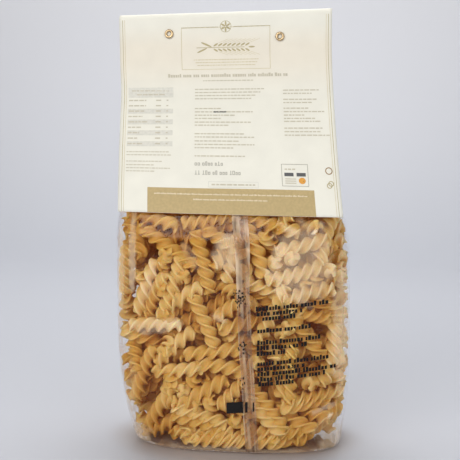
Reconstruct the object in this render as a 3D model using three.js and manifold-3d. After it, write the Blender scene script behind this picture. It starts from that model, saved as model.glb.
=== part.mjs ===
// A 500 g packet of twisted pasta: a clear film bag with folded sides, standing on its foot, with a card
// header folded over its closed top and held there by two small eyelets.
// Millimetres, +Z up, the shown face towards -Y, origin under the middle of the packet on the table.
import * as THREE from "three";
import Module from "manifold-3d";
import { mergeVertices } from "three/addons/utils/BufferGeometryUtils.js";

// Film bag: a full belly, a narrower foot, a wedge-shaped shoulder and a flat closed top.
const BELLY_HALF_WIDTH = 67.4;
const BELLY_HALF_DEPTH = 38;
const FOOT_HALF_WIDTH = 59.4;
const FOOT_HALF_DEPTH = 37;
const FOOT_HEIGHT = 64;
const FOOT_SWELL = 2.2;
const FOOT_BEVEL = 1.5;
const CLOSURE_HALF_WIDTH = 60;
const CLOSURE_HALF_DEPTH = 0.8;
const CLOSURE_TOP = 245;
const SHOULDER_SLOPE = 0.485;
const SHOULDER_END = 206;
const SHOULDER_ROUNDING = 2;
const CLOSURE_ROUNDING = 1;
const BELLY_SQUARENESS = 4;
const FOOT_SQUARENESS = 3;
const FOOT_SHIFT = 3;
const TOP_SHIFT = -6.3;
const STRAIGHT_HEIGHT = 105;

// Side gussets: each side panel folds inwards along its middle above the contents.
const GUSSET_HALF_PANEL = 38;
const GUSSET_START = 118;
const GUSSET_FULL = 188;
const GUSSET_SEALED = 206;

// The film is pushed in and out a little by what it holds.
const BULGE = 0.9;
const BULGE_ACROSS = 19;
const BULGE_ALONG = 27;

// Lap seam of the film, down the shown face, a little to the right of its middle and more so at its foot.
const SEAM_SHIFT = 7.9;
const SEAM_LEAN = 3.8;
const SEAM_LEAN_TOP = 150;
const SEAM_HALF_WIDTH = 3.6;
const SEAM_PROUD = 0.5;
const SEAM_ROOT = 2;
const SEAM_TOP = 200;

// Card header.
const CARD_HALF_WIDTH = 62;
const CARD_FLARE = 0.7;
const CARD_FOOT_SHIFT = 0.5;
const CARD_LEAN_POWER = 1.4;
const CARD_TOP = 250;
const CARD_FOOT = 134;
const CARD_THICKNESS = 0.5;
const CARD_GAP = 0.9;
const CARD_SAG = 3.5;
const CARD_TOP_SLANT = 0.9;
const CARD_FOOT_SLANT = -1.1;
const FOLD_RADIUS = 3.3;
const PINCH_HALF = 1.9;
const PINCH_HEIGHT = 229;

// Eyelets: the middle of each on the card's face, and their own sizes.
const EYELETS = [
  { name: "eyelet_left", x: -38.6, z: 237.6 },
  { name: "eyelet_right", x: 26.1, z: 235.2 },
];
const EYELET_BORE = 1;
const EYELET_BARREL = 1.5;
const EYELET_FLANGE = 2.6;
const EYELET_LIP = 0.9;
const FIT_GAP = 0.3;

// How finely the surfaces are divided.
const SIDE_STEPS = 8;
const FACE_STEPS = 24;
const DENSE = 240;
const LEVEL_STEP = 6.5;
const ACROSS_CARD = 12;
const FOLD_STEPS = 8;
const ROUND_STEPS = 20;

const filmLook = new THREE.MeshStandardMaterial({ color: 0xd9b26a, roughness: 0.3, metalness: 0 });
const cardLook = new THREE.MeshStandardMaterial({ color: 0xf3f0e2, roughness: 0.7, metalness: 0 });
const brassLook = new THREE.MeshStandardMaterial({ color: 0xa9855a, roughness: 0.35, metalness: 1 });

const wasm = await Module();
wasm.setup();

// A soft minimum of a and b, rounded over about the given width.
function softMin(a, b, width) {
  return -width * Math.log(Math.exp(-a / width) + Math.exp(-b / width));
}

// A soft maximum of a and b.
function softMax(a, b, width) {
  return -softMin(-a, -b, width);
}

// How far the film has swollen from foot to belly at height z, from 0 to 1.
function swell(z) {
  return 1 - Math.pow(1 - Math.min(z / FOOT_HEIGHT, 1), FOOT_SWELL);
}

// Half the bag's depth at height z.
function halfDepth(z) {
  const belly = FOOT_HALF_DEPTH + (BELLY_HALF_DEPTH - FOOT_HALF_DEPTH) * swell(z);
  const shoulder = (SHOULDER_END - z) * SHOULDER_SLOPE;
  const body = softMin(belly, shoulder, SHOULDER_ROUNDING);
  return softMax(body, CLOSURE_HALF_DEPTH, CLOSURE_ROUNDING);
}

// Half the bag's width at height z.
function halfWidth(z) {
  const belly = FOOT_HALF_WIDTH + (BELLY_HALF_WIDTH - FOOT_HALF_WIDTH) * swell(z);
  const narrowing = THREE.MathUtils.smoothstep(z, STRAIGHT_HEIGHT, SHOULDER_END);
  return THREE.MathUtils.lerp(belly, CLOSURE_HALF_WIDTH, narrowing);
}

// The bag leans a little: its foot stands to the right of its belly and its top to the left.
function middleX(z) {
  if (z < STRAIGHT_HEIGHT) return FOOT_SHIFT * Math.pow(1 - z / STRAIGHT_HEIGHT, 2);
  return TOP_SHIFT * THREE.MathUtils.smoothstep(z, STRAIGHT_HEIGHT, SHOULDER_END);
}

// How deep the side folds inwards at height z.
function gussetDepth(z) {
  const reach = Math.sqrt(Math.max(GUSSET_HALF_PANEL ** 2 - halfDepth(z) ** 2, 0));
  const opening = THREE.MathUtils.smoothstep(z, GUSSET_START, GUSSET_FULL);
  const closing = 1 - THREE.MathUtils.smoothstep(z, GUSSET_FULL, GUSSET_SEALED);
  return reach * opening * closing;
}

// Small swells of the film on its flat faces.
function bulge(x, z) {
  const faded = THREE.MathUtils.smoothstep(z, 0, FOOT_HEIGHT / 2) *
    (1 - THREE.MathUtils.smoothstep(z, STRAIGHT_HEIGHT, CARD_FOOT + FOOT_HEIGHT / 2));
  const across = Math.sin(x / BULGE_ACROSS + z / BULGE_ALONG);
  const along = Math.cos((z - x) / BULGE_ALONG);
  return BULGE * faded * across * along;
}

// One point of the bag's outline at height z; turn is the angle from the middle of the right side.
function filmPoint(z, turn) {
  const squareness = THREE.MathUtils.lerp(FOOT_SQUARENESS, BELLY_SQUARENESS, swell(z));
  const power = 2 / squareness;
  const c = Math.cos(turn);
  const s = Math.sin(turn);
  const across = Math.sign(c) * Math.pow(Math.abs(c), power);
  const deep = Math.sign(s) * Math.pow(Math.abs(s), power);
  const tuck = gussetDepth(z) * Math.pow(Math.abs(across), squareness) * (1 - Math.abs(deep));
  const x = across * halfWidth(z) - Math.sign(across) * tuck;
  return new THREE.Vector2(x + middleX(z), (halfDepth(z) + bulge(x, z)) * deep);
}

// Points at equal distances along one stretch of the outline, without its last one.
function stretch(z, from, to, steps) {
  const dense = [];
  for (let i = 0; i <= DENSE; i++) dense.push(filmPoint(z, from + ((to - from) * i) / DENSE));
  const run = [0];
  for (let i = 1; i <= DENSE; i++) run.push(run[i - 1] + dense[i].distanceTo(dense[i - 1]));
  const points = [];
  let at = 0;
  for (let k = 0; k < steps; k++) {
    const target = (run[DENSE] * k) / steps;
    while (run[at + 1] < target) at++;
    const share = (target - run[at]) / Math.max(run[at + 1] - run[at], 1e-9);
    const point = dense[at].clone().lerp(dense[at + 1], share);
    points.push(new THREE.Vector3(point.x, point.y, z));
  }
  return points;
}

// The bag's outline at height z, once round from the middle of the right side.
function bagSection(z) {
  const eighth = Math.PI / 4;
  return [
    stretch(z, 0, eighth, SIDE_STEPS),
    stretch(z, eighth, 3 * eighth, FACE_STEPS),
    stretch(z, 3 * eighth, 4 * eighth, SIDE_STEPS),
    stretch(z, 4 * eighth, 5 * eighth, SIDE_STEPS),
    stretch(z, 5 * eighth, 7 * eighth, FACE_STEPS),
    stretch(z, 7 * eighth, 8 * eighth, SIDE_STEPS),
  ].flat();
}

// The side faces between rings of points that run anticlockwise seen from the end of the stack.
function sleeve(rings) {
  const count = rings[0].length;
  const index = [];
  for (let r = 0; r + 1 < rings.length; r++) {
    for (let k = 0; k < count; k++) {
      const a = r * count + k;
      const b = r * count + ((k + 1) % count);
      index.push(a, b, b + count, a, b + count, a + count);
    }
  }
  return index;
}

// A geometry from rings of points and the faces that join them.
function geometryOf(rings, index) {
  const geometry = new THREE.BufferGeometry();
  const positions = rings.flat().flatMap((p) => [p.x, p.y, p.z]);
  geometry.setAttribute("position", new THREE.Float32BufferAttribute(positions, 3));
  geometry.setIndex(index);
  return geometry;
}

// A closed geometry from level rings, stacked upwards.
function loft(rings) {
  const index = sleeve(rings);
  const last = rings.length - 1;
  for (const r of [0, last]) {
    const base = r * rings[0].length;
    const flat = rings[r].map((p) => new THREE.Vector2(p.x, p.y));
    for (const [a, b, c] of THREE.ShapeUtils.triangulateShape(flat, [])) {
      index.push(base + a, base + (r ? b : c), base + (r ? c : b));
    }
  }
  return geometryOf(rings, index);
}

// A closed geometry as a solid that can be joined and cut.
function toSolid(geometry) {
  const bare = geometry.clone();
  bare.deleteAttribute("normal");
  bare.deleteAttribute("uv");
  const merged = mergeVertices(bare, 1e-4);
  return new wasm.Manifold(new wasm.Mesh({
    numProp: 3,
    vertProperties: new Float32Array(merged.attributes.position.array),
    triVerts: new Uint32Array(merged.index.array),
  }));
}

// A joined or cut solid as a geometry again.
function toGeometry(solid) {
  const mesh = solid.getMesh();
  const geometry = new THREE.BufferGeometry();
  geometry.setAttribute("position", new THREE.Float32BufferAttribute(Array.from(mesh.vertProperties), 3));
  geometry.setIndex(Array.from(mesh.triVerts));
  geometry.computeVertexNormals();
  return geometry;
}

// Heights of the bag's sections, with two close together at the foot's bevel.
function bagLevels() {
  const levels = [0, FOOT_BEVEL];
  const last = CLOSURE_TOP - LEVEL_STEP / 2;
  for (let z = FOOT_BEVEL + LEVEL_STEP / 2; z < last; z += LEVEL_STEP) levels.push(z);
  levels.push(CLOSURE_TOP);
  return levels;
}

// The body of the bag, out to the film.
function bagBody() {
  return loft(bagLevels().map((z) => {
    const ring = bagSection(z);
    if (z > 0) return ring;
    const middle = middleX(0);
    for (const p of ring) {
      p.x = middle + (p.x - middle) * (1 - FOOT_BEVEL / FOOT_HALF_WIDTH);
      p.y *= 1 - FOOT_BEVEL / FOOT_HALF_DEPTH;
    }
    return ring;
  }));
}

// The lap seam: a flat strip that follows the shown face.
function seamStrip() {
  const rings = [];
  for (let z = FOOT_BEVEL; z < SEAM_TOP; z += LEVEL_STEP) {
    const shift = SEAM_SHIFT + SEAM_LEAN * Math.max(1 - z / SEAM_LEAN_TOP, 0);
    const x = middleX(z) + shift;
    const face = -(halfDepth(z) + bulge(shift, z));
    const left = x - SEAM_HALF_WIDTH;
    const right = x + SEAM_HALF_WIDTH;
    const outer = face - SEAM_PROUD;
    const inner = face + SEAM_ROOT;
    rings.push([
      new THREE.Vector3(left, outer, z),
      new THREE.Vector3(right, outer, z),
      new THREE.Vector3(right, inner, z),
      new THREE.Vector3(left, inner, z),
    ]);
  }
  return loft(rings);
}

// How far the middle of the card's thickness stands from the packet's middle plane at height z.
function cardHalf(z) {
  const overBag = halfDepth(z) + CARD_GAP + CARD_THICKNESS / 2;
  const spread = Math.max((z - PINCH_HEIGHT) / (CARD_TOP - FOLD_RADIUS - PINCH_HEIGHT), 0);
  const pinch = THREE.MathUtils.lerp(PINCH_HALF, FOLD_RADIUS, spread);
  return Math.max(overBag, pinch);
}

// The card's centre line from the foot of the front panel, over the fold, to the foot of the back panel.
function cardLine() {
  const line = [];
  const foldStart = CARD_TOP - FOLD_RADIUS;
  const steps = Math.round((foldStart - CARD_FOOT) / LEVEL_STEP);
  for (let i = 0; i <= steps; i++) {
    const z = CARD_FOOT + ((foldStart - CARD_FOOT) * i) / steps;
    line.push(new THREE.Vector2(-cardHalf(z), z));
  }
  for (let i = 1; i < FOLD_STEPS; i++) {
    const angle = Math.PI - (Math.PI * i) / FOLD_STEPS;
    line.push(new THREE.Vector2(FOLD_RADIUS * Math.cos(angle), foldStart + FOLD_RADIUS * Math.sin(angle)));
  }
  const back = line.slice(0, steps + 1).reverse().map((p) => new THREE.Vector2(-p.x, p.y));
  return line.concat(back);
}

// One point of the card: share runs from -1 at its left edge to 1 at its right edge.
function cardPoint(line, i, share, side) {
  const before = line[Math.max(i - 1, 0)];
  const after = line[Math.min(i + 1, line.length - 1)];
  const along = after.clone().sub(before).normalize();
  const y = line[i].x - along.y * side * (CARD_THICKNESS / 2);
  const z = line[i].y + along.x * side * (CARD_THICKNESS / 2);
  const height = THREE.MathUtils.clamp((line[i].y - CARD_FOOT) / (CARD_TOP - CARD_FOOT), 0, 1);
  const low = THREE.MathUtils.clamp((SHOULDER_END - line[i].y) / (SHOULDER_END - CARD_FOOT), 0, 1);
  const sag = CARD_SAG * low * share * share;
  const slant = THREE.MathUtils.lerp(CARD_FOOT_SLANT, CARD_TOP_SLANT, height) * share;
  const flare = THREE.MathUtils.clamp((PINCH_HEIGHT - line[i].y) / (PINCH_HEIGHT - CARD_FOOT), 0, 1);
  const middle = THREE.MathUtils.lerp(TOP_SHIFT, CARD_FOOT_SHIFT, Math.pow(flare, CARD_LEAN_POWER));
  const x = middle + share * (CARD_HALF_WIDTH + CARD_FLARE * flare);
  return new THREE.Vector3(x, y - Math.sign(y) * sag, z + slant);
}

// The folded card: rings across its width, each running along the outer face and back along the inner.
function cardBody() {
  const line = cardLine();
  const rings = [];
  for (let k = 0; k <= ACROSS_CARD; k++) {
    const share = (2 * k) / ACROSS_CARD - 1;
    const outer = line.map((_, i) => cardPoint(line, i, share, 1));
    const inner = line.map((_, i) => cardPoint(line, i, share, -1)).reverse();
    rings.push(outer.concat(inner).reverse());
  }
  return flatEnded(rings);
}

// Closes rings whose ends are flat strips, with quads from one side of the strip to the other.
function flatEnded(rings) {
  const index = sleeve(rings);
  const count = rings[0].length;
  const last = (rings.length - 1) * count;
  for (let k = 0; k + 1 < count / 2; k++) {
    const [a, b, c, d] = [k, k + 1, count - 2 - k, count - 1 - k];
    index.push(a, c, b, a, d, c);
    index.push(last + a, last + b, last + c, last + a, last + c, last + d);
  }
  return geometryOf(rings, index);
}

// A round pin through the card and the bag, where an eyelet passes.
function pinAt(eyelet, radius) {
  const length = 4 * FOLD_RADIUS;
  const pin = new THREE.CylinderGeometry(radius, radius, length, ROUND_STEPS);
  return toSolid(pin.translate(eyelet.x, 0, eyelet.z));
}

// An eyelet: a barrel with a rolled flange at each end, turned about the Y axis.
function eyeletGeometry(eyelet) {
  const seat = cardHalf(eyelet.z + EYELET_FLANGE) + CARD_THICKNESS / 2 + FIT_GAP;
  const side = [
    [EYELET_BORE, seat + EYELET_LIP * 0.7],
    [EYELET_BARREL, seat + EYELET_LIP],
    [EYELET_FLANGE * 0.85, seat + EYELET_LIP * 0.8],
    [EYELET_FLANGE, seat + EYELET_LIP * 0.35],
    [EYELET_FLANGE * 0.94, seat],
    [EYELET_BARREL, seat],
  ];
  const top = side.map(([r, y]) => new THREE.Vector2(r, y)).reverse();
  const bottom = side.map(([r, y]) => new THREE.Vector2(r, -y));
  const profile = top.concat(bottom);
  profile.push(profile[0].clone());
  return new THREE.LatheGeometry(profile, ROUND_STEPS);
}

// A named mesh of the packet.
function piece(name, geometry, look) {
  const mesh = new THREE.Mesh(geometry, look);
  mesh.name = name;
  return mesh;
}

// The film bag with its seam, pierced for the eyelets.
function makeBag() {
  let solid = toSolid(bagBody()).add(toSolid(seamStrip()));
  for (const eyelet of EYELETS) solid = solid.subtract(pinAt(eyelet, EYELET_BARREL + FIT_GAP));
  return piece("bag", toGeometry(solid), filmLook);
}

// The card header, pierced for the eyelets.
function makeCard() {
  let solid = toSolid(cardBody());
  for (const eyelet of EYELETS) solid = solid.subtract(pinAt(eyelet, EYELET_BARREL + FIT_GAP));
  return piece("header_card", toGeometry(solid), cardLook);
}

// One eyelet in its place.
function makeEyelet(eyelet) {
  const mesh = piece(eyelet.name, eyeletGeometry(eyelet), brassLook);
  mesh.position.set(eyelet.x, 0, eyelet.z);
  return mesh;
}

const packet = new THREE.Group();
packet.name = "pasta_packet";
packet.add(makeBag());
packet.add(makeCard());
for (const eyelet of EYELETS) packet.add(makeEyelet(eyelet));

export default packet;
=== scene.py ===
"""Looks of a packet of twisted pasta: clear film, loose twists, a printed card header and two eyelets.

Sizes are in millimetres; a finished mesh is scaled to metres when it is made.
"""
import logging
import math
from dataclasses import dataclass, field
from enum import Enum
from typing import Callable, ClassVar

import bmesh
import bpy
import numpy as np
from mathutils import Matrix, Vector
from mathutils.bvhtree import BVHTree


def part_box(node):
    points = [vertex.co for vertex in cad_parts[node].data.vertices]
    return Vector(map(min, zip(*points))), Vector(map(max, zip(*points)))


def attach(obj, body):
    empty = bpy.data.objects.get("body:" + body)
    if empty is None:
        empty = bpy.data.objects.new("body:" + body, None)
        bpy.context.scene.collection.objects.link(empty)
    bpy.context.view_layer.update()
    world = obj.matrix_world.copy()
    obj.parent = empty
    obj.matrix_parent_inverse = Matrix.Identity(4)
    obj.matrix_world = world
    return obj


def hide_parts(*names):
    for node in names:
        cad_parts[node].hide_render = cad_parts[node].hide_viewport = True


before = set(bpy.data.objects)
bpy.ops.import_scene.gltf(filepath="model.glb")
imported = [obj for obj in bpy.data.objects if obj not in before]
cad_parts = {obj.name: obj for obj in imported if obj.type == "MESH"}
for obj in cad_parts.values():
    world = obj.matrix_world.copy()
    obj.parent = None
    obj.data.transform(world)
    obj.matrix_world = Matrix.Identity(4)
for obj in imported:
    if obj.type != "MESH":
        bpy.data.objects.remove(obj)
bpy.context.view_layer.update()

MM = 0.001
BODY = "root"
# Attribute of the film's milky haze together with its painted sheens: painted reflections, glints and
# highlights.
VEIL_AND_SHEEN = "veil_and_sheen"
LIT = "lit"
WHITE = (1.0, 1.0, 1.0)
Array = np.ndarray
Colour = tuple[float, float, float]
Draws = np.random.Generator
Placing = Callable[[Array, Array], Array]
Socket = bpy.types.NodeSocket
Twist = tuple[Array, Array, Array]
log = logging.getLogger("pasta_packet")


class Face(Enum):
    """The two broad faces of the packet, by the sign of Y that each looks along."""

    SHOWN = -1
    OTHER = 1


class Ink(Enum):
    """Inks of the card and the film, as linear colours."""

    OLIVE = (0.46, 0.39, 0.21)
    GOLD = (0.62, 0.54, 0.34)
    TAN = (0.485, 0.362, 0.168)
    STONE = (0.56, 0.51, 0.39)
    MIST = (0.68, 0.66, 0.58)
    GREY = (0.40, 0.38, 0.32)
    DARK = (0.10, 0.10, 0.10)
    PALE = (0.76, 0.66, 0.47)
    BROWN = (0.30, 0.18, 0.07)
    ORANGE = (0.72, 0.33, 0.05)
    BLACK = (0.008, 0.007, 0.007)


def smoothstep(value: Array, low: float, high: float) -> Array:
    """A smooth rise from 0 at low to 1 at high.

    Args:
        value: where to take the step.
        low: where the rise starts.
        high: where it ends.

    Returns:
        The height of the step.
    """
    share = np.clip((value - low) / (high - low), 0, 1)
    return share * share * (3 - 2 * share)


def soft_min(a: Array, b: Array, width: float) -> Array:
    """The lesser of a and b, rounded over about the given width."""
    return -width * np.logaddexp(-a / width, -b / width)


def soft_noise(shape: tuple[int, int], cells: tuple[int, int], rng: Draws) -> Array:
    """Smooth noise on a grid, which closes on itself across its columns.

    Args:
        shape: rows and columns of the result.
        cells: how many swells it has along the rows and across the columns.
        rng: the source of the draw.

    Returns:
        Values of about -1 to 1.
    """
    coarse = rng.uniform(-1, 1, (cells[0] + 2, cells[1]))
    row = np.linspace(0, cells[0], shape[0])
    column = np.linspace(0, cells[1], shape[1], endpoint=False)
    r0, c0 = row.astype(int), column.astype(int)
    rs, cs = row - r0, column - c0
    rs, cs = (rs * rs * (3 - 2 * rs))[:, None], (cs * cs * (3 - 2 * cs))[None, :]
    r1, c1 = r0 + 1, (c0 + 1) % cells[1]
    low = coarse[np.ix_(r0, c0)] * (1 - cs) + coarse[np.ix_(r0, c1)] * cs
    high = coarse[np.ix_(r1, c0)] * (1 - cs) + coarse[np.ix_(r1, c1)] * cs
    return low * (1 - rs) + high * rs


@dataclass(frozen=True)
class Sheen:
    """A painted sheen: a patch painted milky on the film, or paler on the pasta, mostly for reflections and
    glints of the lights; its middle, half sizes, tilt in degrees and strength.
    """

    EDGE: ClassVar[float] = 1.25
    SOFTNESS: ClassVar[float] = 0.75
    BACKMOST: ClassVar[float] = -8.0

    x: float
    z: float
    wide: float
    tall: float
    tilt: float
    strength: float
    face: Face = Face.SHOWN

    def at(self, points: Array) -> Array:
        """How strongly the patch's painted sheen lies at each point.

        Args:
            points: points of the film.

        Returns:
            A value from 0 to the patch's strength for each.
        """
        turn = math.radians(self.tilt)
        dx, dz = points[:, 0] - self.x, points[:, 2] - self.z
        along = (dx * math.cos(turn) + dz * math.sin(turn)) / self.wide
        over = (dz * math.cos(turn) - dx * math.sin(turn)) / self.tall
        ragged = 0.22 * np.sin(dx * 0.55 + 2.1 * np.sin(dz * 0.31)) + 0.16 * np.sin(dz * 0.83 + dx * 0.4)
        inside = smoothstep(self.EDGE - along**2 - over**2 + ragged, 0.0, self.SOFTNESS)
        return self.strength * inside * (points[:, 1] * self.face.value > self.BACKMOST)


# Painted sheens on the pasta: where the film shines with reflections of the lights and down its folded sides,
# the twists nearest the film are painted paler.
PASTA_SHEENS = (
    Sheen(40, 107, 18, 23, 4, 1.0),
    Sheen(0, 113, 9, 12, 0, 0.70),
    Sheen(-5, 76.5, 5, 2.4, -32, 0.90),
    Sheen(51, 29.5, 9, 2.6, 8, 0.60),
    Sheen(61, 80, 7, 48, 0, 0.75),
    Sheen(-56, 84, 6, 46, 0, 0.35),
)


@dataclass(frozen=True)
class Laid:
    """A twist that lies against the shown face.

    It has the place of its middle, its tilt, how far it points at the film, both in degrees, and how much
    paler it is painted, as a painted sheen like those of the pasta.
    """

    x: float
    z: float
    tilt: float
    point: float = 0.0
    pale: float = 0.0


LAID = (
    Laid(-33, 114, -34),
    Laid(-15, 107, -80, pale=0.10),
    Laid(-46, 92, 66, pale=1.0),
    Laid(-26, 84, 26, pale=0.12),
    Laid(-42, 71, 8, pale=1.0),
    Laid(-30, 99, 0, 72),
    Laid(-14, 75, -66, 18, pale=0.15),
    Laid(-31, 59, 40, pale=0.12),
    Laid(-8, 57, 9),
    Laid(-27, 46, 12),
    Laid(-3, 46, -12, pale=0.10),
    Laid(-47, 42, 70, 18),
    Laid(-15, 32, 34, pale=0.12),
    Laid(-31, 32, 10, 66, pale=0.20),
    Laid(-24, 20, 60, 66, pale=0.20),
    Laid(-44, 24, 66, 12),
    Laid(-37, 12, 36, pale=0.15),
    Laid(-14, 10, 10, pale=0.15),
    Laid(41, 116, 11, pale=0.45),
    Laid(51, 103, 0, 66, pale=0.45),
    Laid(36, 101, 14, pale=0.40),
    Laid(46, 89, 24, pale=0.35),
    Laid(26, 91, -24, pale=0.20),
    Laid(15, 114, -68, 24),
    Laid(3, 110, 74, 14, pale=0.45),
    Laid(26, 12, 5, pale=0.15),
    Laid(51, 15, 42, pale=0.10),
    Laid(50, 30, 8, pale=0.55),
    Laid(23, 29, -50, pale=0.10),
    Laid(55, 55, 76, 14, pale=0.15),
    Laid(45, 70, -58),
    Laid(42, 38, 20, 60, pale=0.15),
    Laid(59, 121, 58, pale=0.30),
    Laid(59, 88, 122, pale=0.30),
    Laid(-57, 120, 126, pale=0.10),
    Laid(-57, 56, 118, pale=0.20),
    Laid(-44, 130, -10),
    Laid(-10, 131, 12),
    Laid(22, 129, -16),
)


@dataclass(frozen=True)
class BagForm:
    """The outer form of the film bag, level by level."""

    belly_half_width: float = 67.9
    belly_half_depth: float = 38.0
    foot_half_width: float = 59.8
    foot_half_depth: float = 37.0
    foot_height: float = 64.0
    foot_swell: float = 2.2
    closure_half_width: float = 60.0
    closure_half_depth: float = 0.8
    closure_top: float = 245.0
    shoulder_slope: float = 0.485
    shoulder_end: float = 206.0
    belly_squareness: float = 4.0
    foot_squareness: float = 3.0
    foot_shift: float = 3.0
    top_shift: float = -6.3
    straight_height: float = 105.0
    gusset_half_panel: float = 38.0
    gusset_start: float = 118.0
    gusset_full: float = 188.0
    bulge_height: float = 0.9
    bulge_end: float = 166.0
    bulge_across: float = 19.0
    bulge_along: float = 27.0
    arc_steps: int = 600

    def swell(self, z: Array) -> Array:
        """How far the film has swollen from foot to belly at height z, from 0 to 1."""
        return 1 - (1 - np.clip(z / self.foot_height, 0, 1)) ** self.foot_swell

    def half_depth(self, z: Array) -> Array:
        """Half the bag's depth at height z.

        Args:
            z: the heights.

        Returns:
            The half depth at each.
        """
        gain = self.belly_half_depth - self.foot_half_depth
        belly = self.foot_half_depth + gain * self.swell(z)
        shoulder = (self.shoulder_end - z) * self.shoulder_slope
        return -soft_min(-soft_min(belly, shoulder, 2.0), -self.closure_half_depth + 0 * z, 1.0)

    def half_width(self, z: Array) -> Array:
        """Half the bag's width at height z.

        Args:
            z: the heights.

        Returns:
            The half width at each.
        """
        belly = self.foot_half_width + (self.belly_half_width - self.foot_half_width) * self.swell(z)
        narrowing = smoothstep(z, self.straight_height, self.shoulder_end)
        return belly + (self.closure_half_width - belly) * narrowing

    def middle(self, z: Array) -> Array:
        """Where the bag's middle stands along X at height z."""
        low = self.foot_shift * np.clip(1 - z / self.straight_height, 0, 1) ** 2
        return low + self.top_shift * smoothstep(z, self.straight_height, self.shoulder_end)

    def gusset(self, z: Array) -> Array:
        """How deep the side folds inwards at height z.

        Args:
            z: the heights.

        Returns:
            The depth of the fold at each.
        """
        reach = np.sqrt(np.maximum(self.gusset_half_panel**2 - self.half_depth(z) ** 2, 0))
        opening = smoothstep(z, self.gusset_start, self.gusset_full)
        return reach * opening * (1 - smoothstep(z, self.gusset_full, self.shoulder_end))

    def bulge(self, x: Array, z: Array) -> Array:
        """Small swells of the film on its flat faces.

        Args:
            x: places along X.
            z: the heights there.

        Returns:
            How far the face stands out.
        """
        low = smoothstep(z, 0, self.foot_height / 2)
        high = smoothstep(z, self.straight_height, self.bulge_end)
        waves = np.sin(x / self.bulge_across + z / self.bulge_along) * np.cos((z - x) / self.bulge_along)
        return self.bulge_height * low * (1 - high) * waves

    def squareness(self, z: Array) -> Array:
        """How square the bag's section is at height z."""
        return self.foot_squareness + (self.belly_squareness - self.foot_squareness) * self.swell(z)

    def side(self, z: Array, deep: Array) -> Array:
        """How far the side stands from the middle where the depth is the given share of its half.

        Args:
            z: the heights.
            deep: the depth there, as a share of half the bag's depth.

        Returns:
            The distance from the middle along X.
        """
        squareness = self.squareness(z)
        deep = np.clip(np.abs(deep), 0, 1)
        across = (1 - deep**squareness) ** (1 / squareness)
        return across * self.half_width(z) - self.gusset(z) * (1 - deep**squareness) * (1 - deep)

    def outline(self, z: float, count: int) -> Array:
        """The bag's section at one height, once round, anticlockwise from above.

        Args:
            z: the height.
            count: how many points, a multiple of 16.

        Returns:
            An array of count points.
        """
        level = np.array(z)
        squareness = float(self.squareness(level))
        side = count // 10
        broad = (count - 4 * side) // 2
        eighth = math.pi / 4
        parts = [(0, 1, side), (1, 3, broad), (3, 4, side), (4, 5, side), (5, 7, broad), (7, 8, side)]
        points = []
        for start, end, steps in parts:
            turn = np.linspace(start * eighth, end * eighth, self.arc_steps)
            c, s = np.cos(turn), np.sin(turn)
            across = np.sign(c) * np.abs(c) ** (2 / squareness)
            deep = np.sign(s) * np.abs(s) ** (2 / squareness)
            tuck = self.gusset(level) * np.abs(across) ** squareness * (1 - np.abs(deep))
            x = across * self.half_width(level) - np.sign(across) * tuck
            y = (self.half_depth(level) + self.bulge(x, level)) * deep
            x = x + self.middle(level)
            run = np.concatenate([[0], np.cumsum(np.hypot(np.diff(x), np.diff(y)))])
            at = np.linspace(0, run[-1], steps, endpoint=False)
            points.append(np.stack([np.interp(at, run, x), np.interp(at, run, y), np.full(steps, z)], 1))
        return np.concatenate(points)


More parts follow.
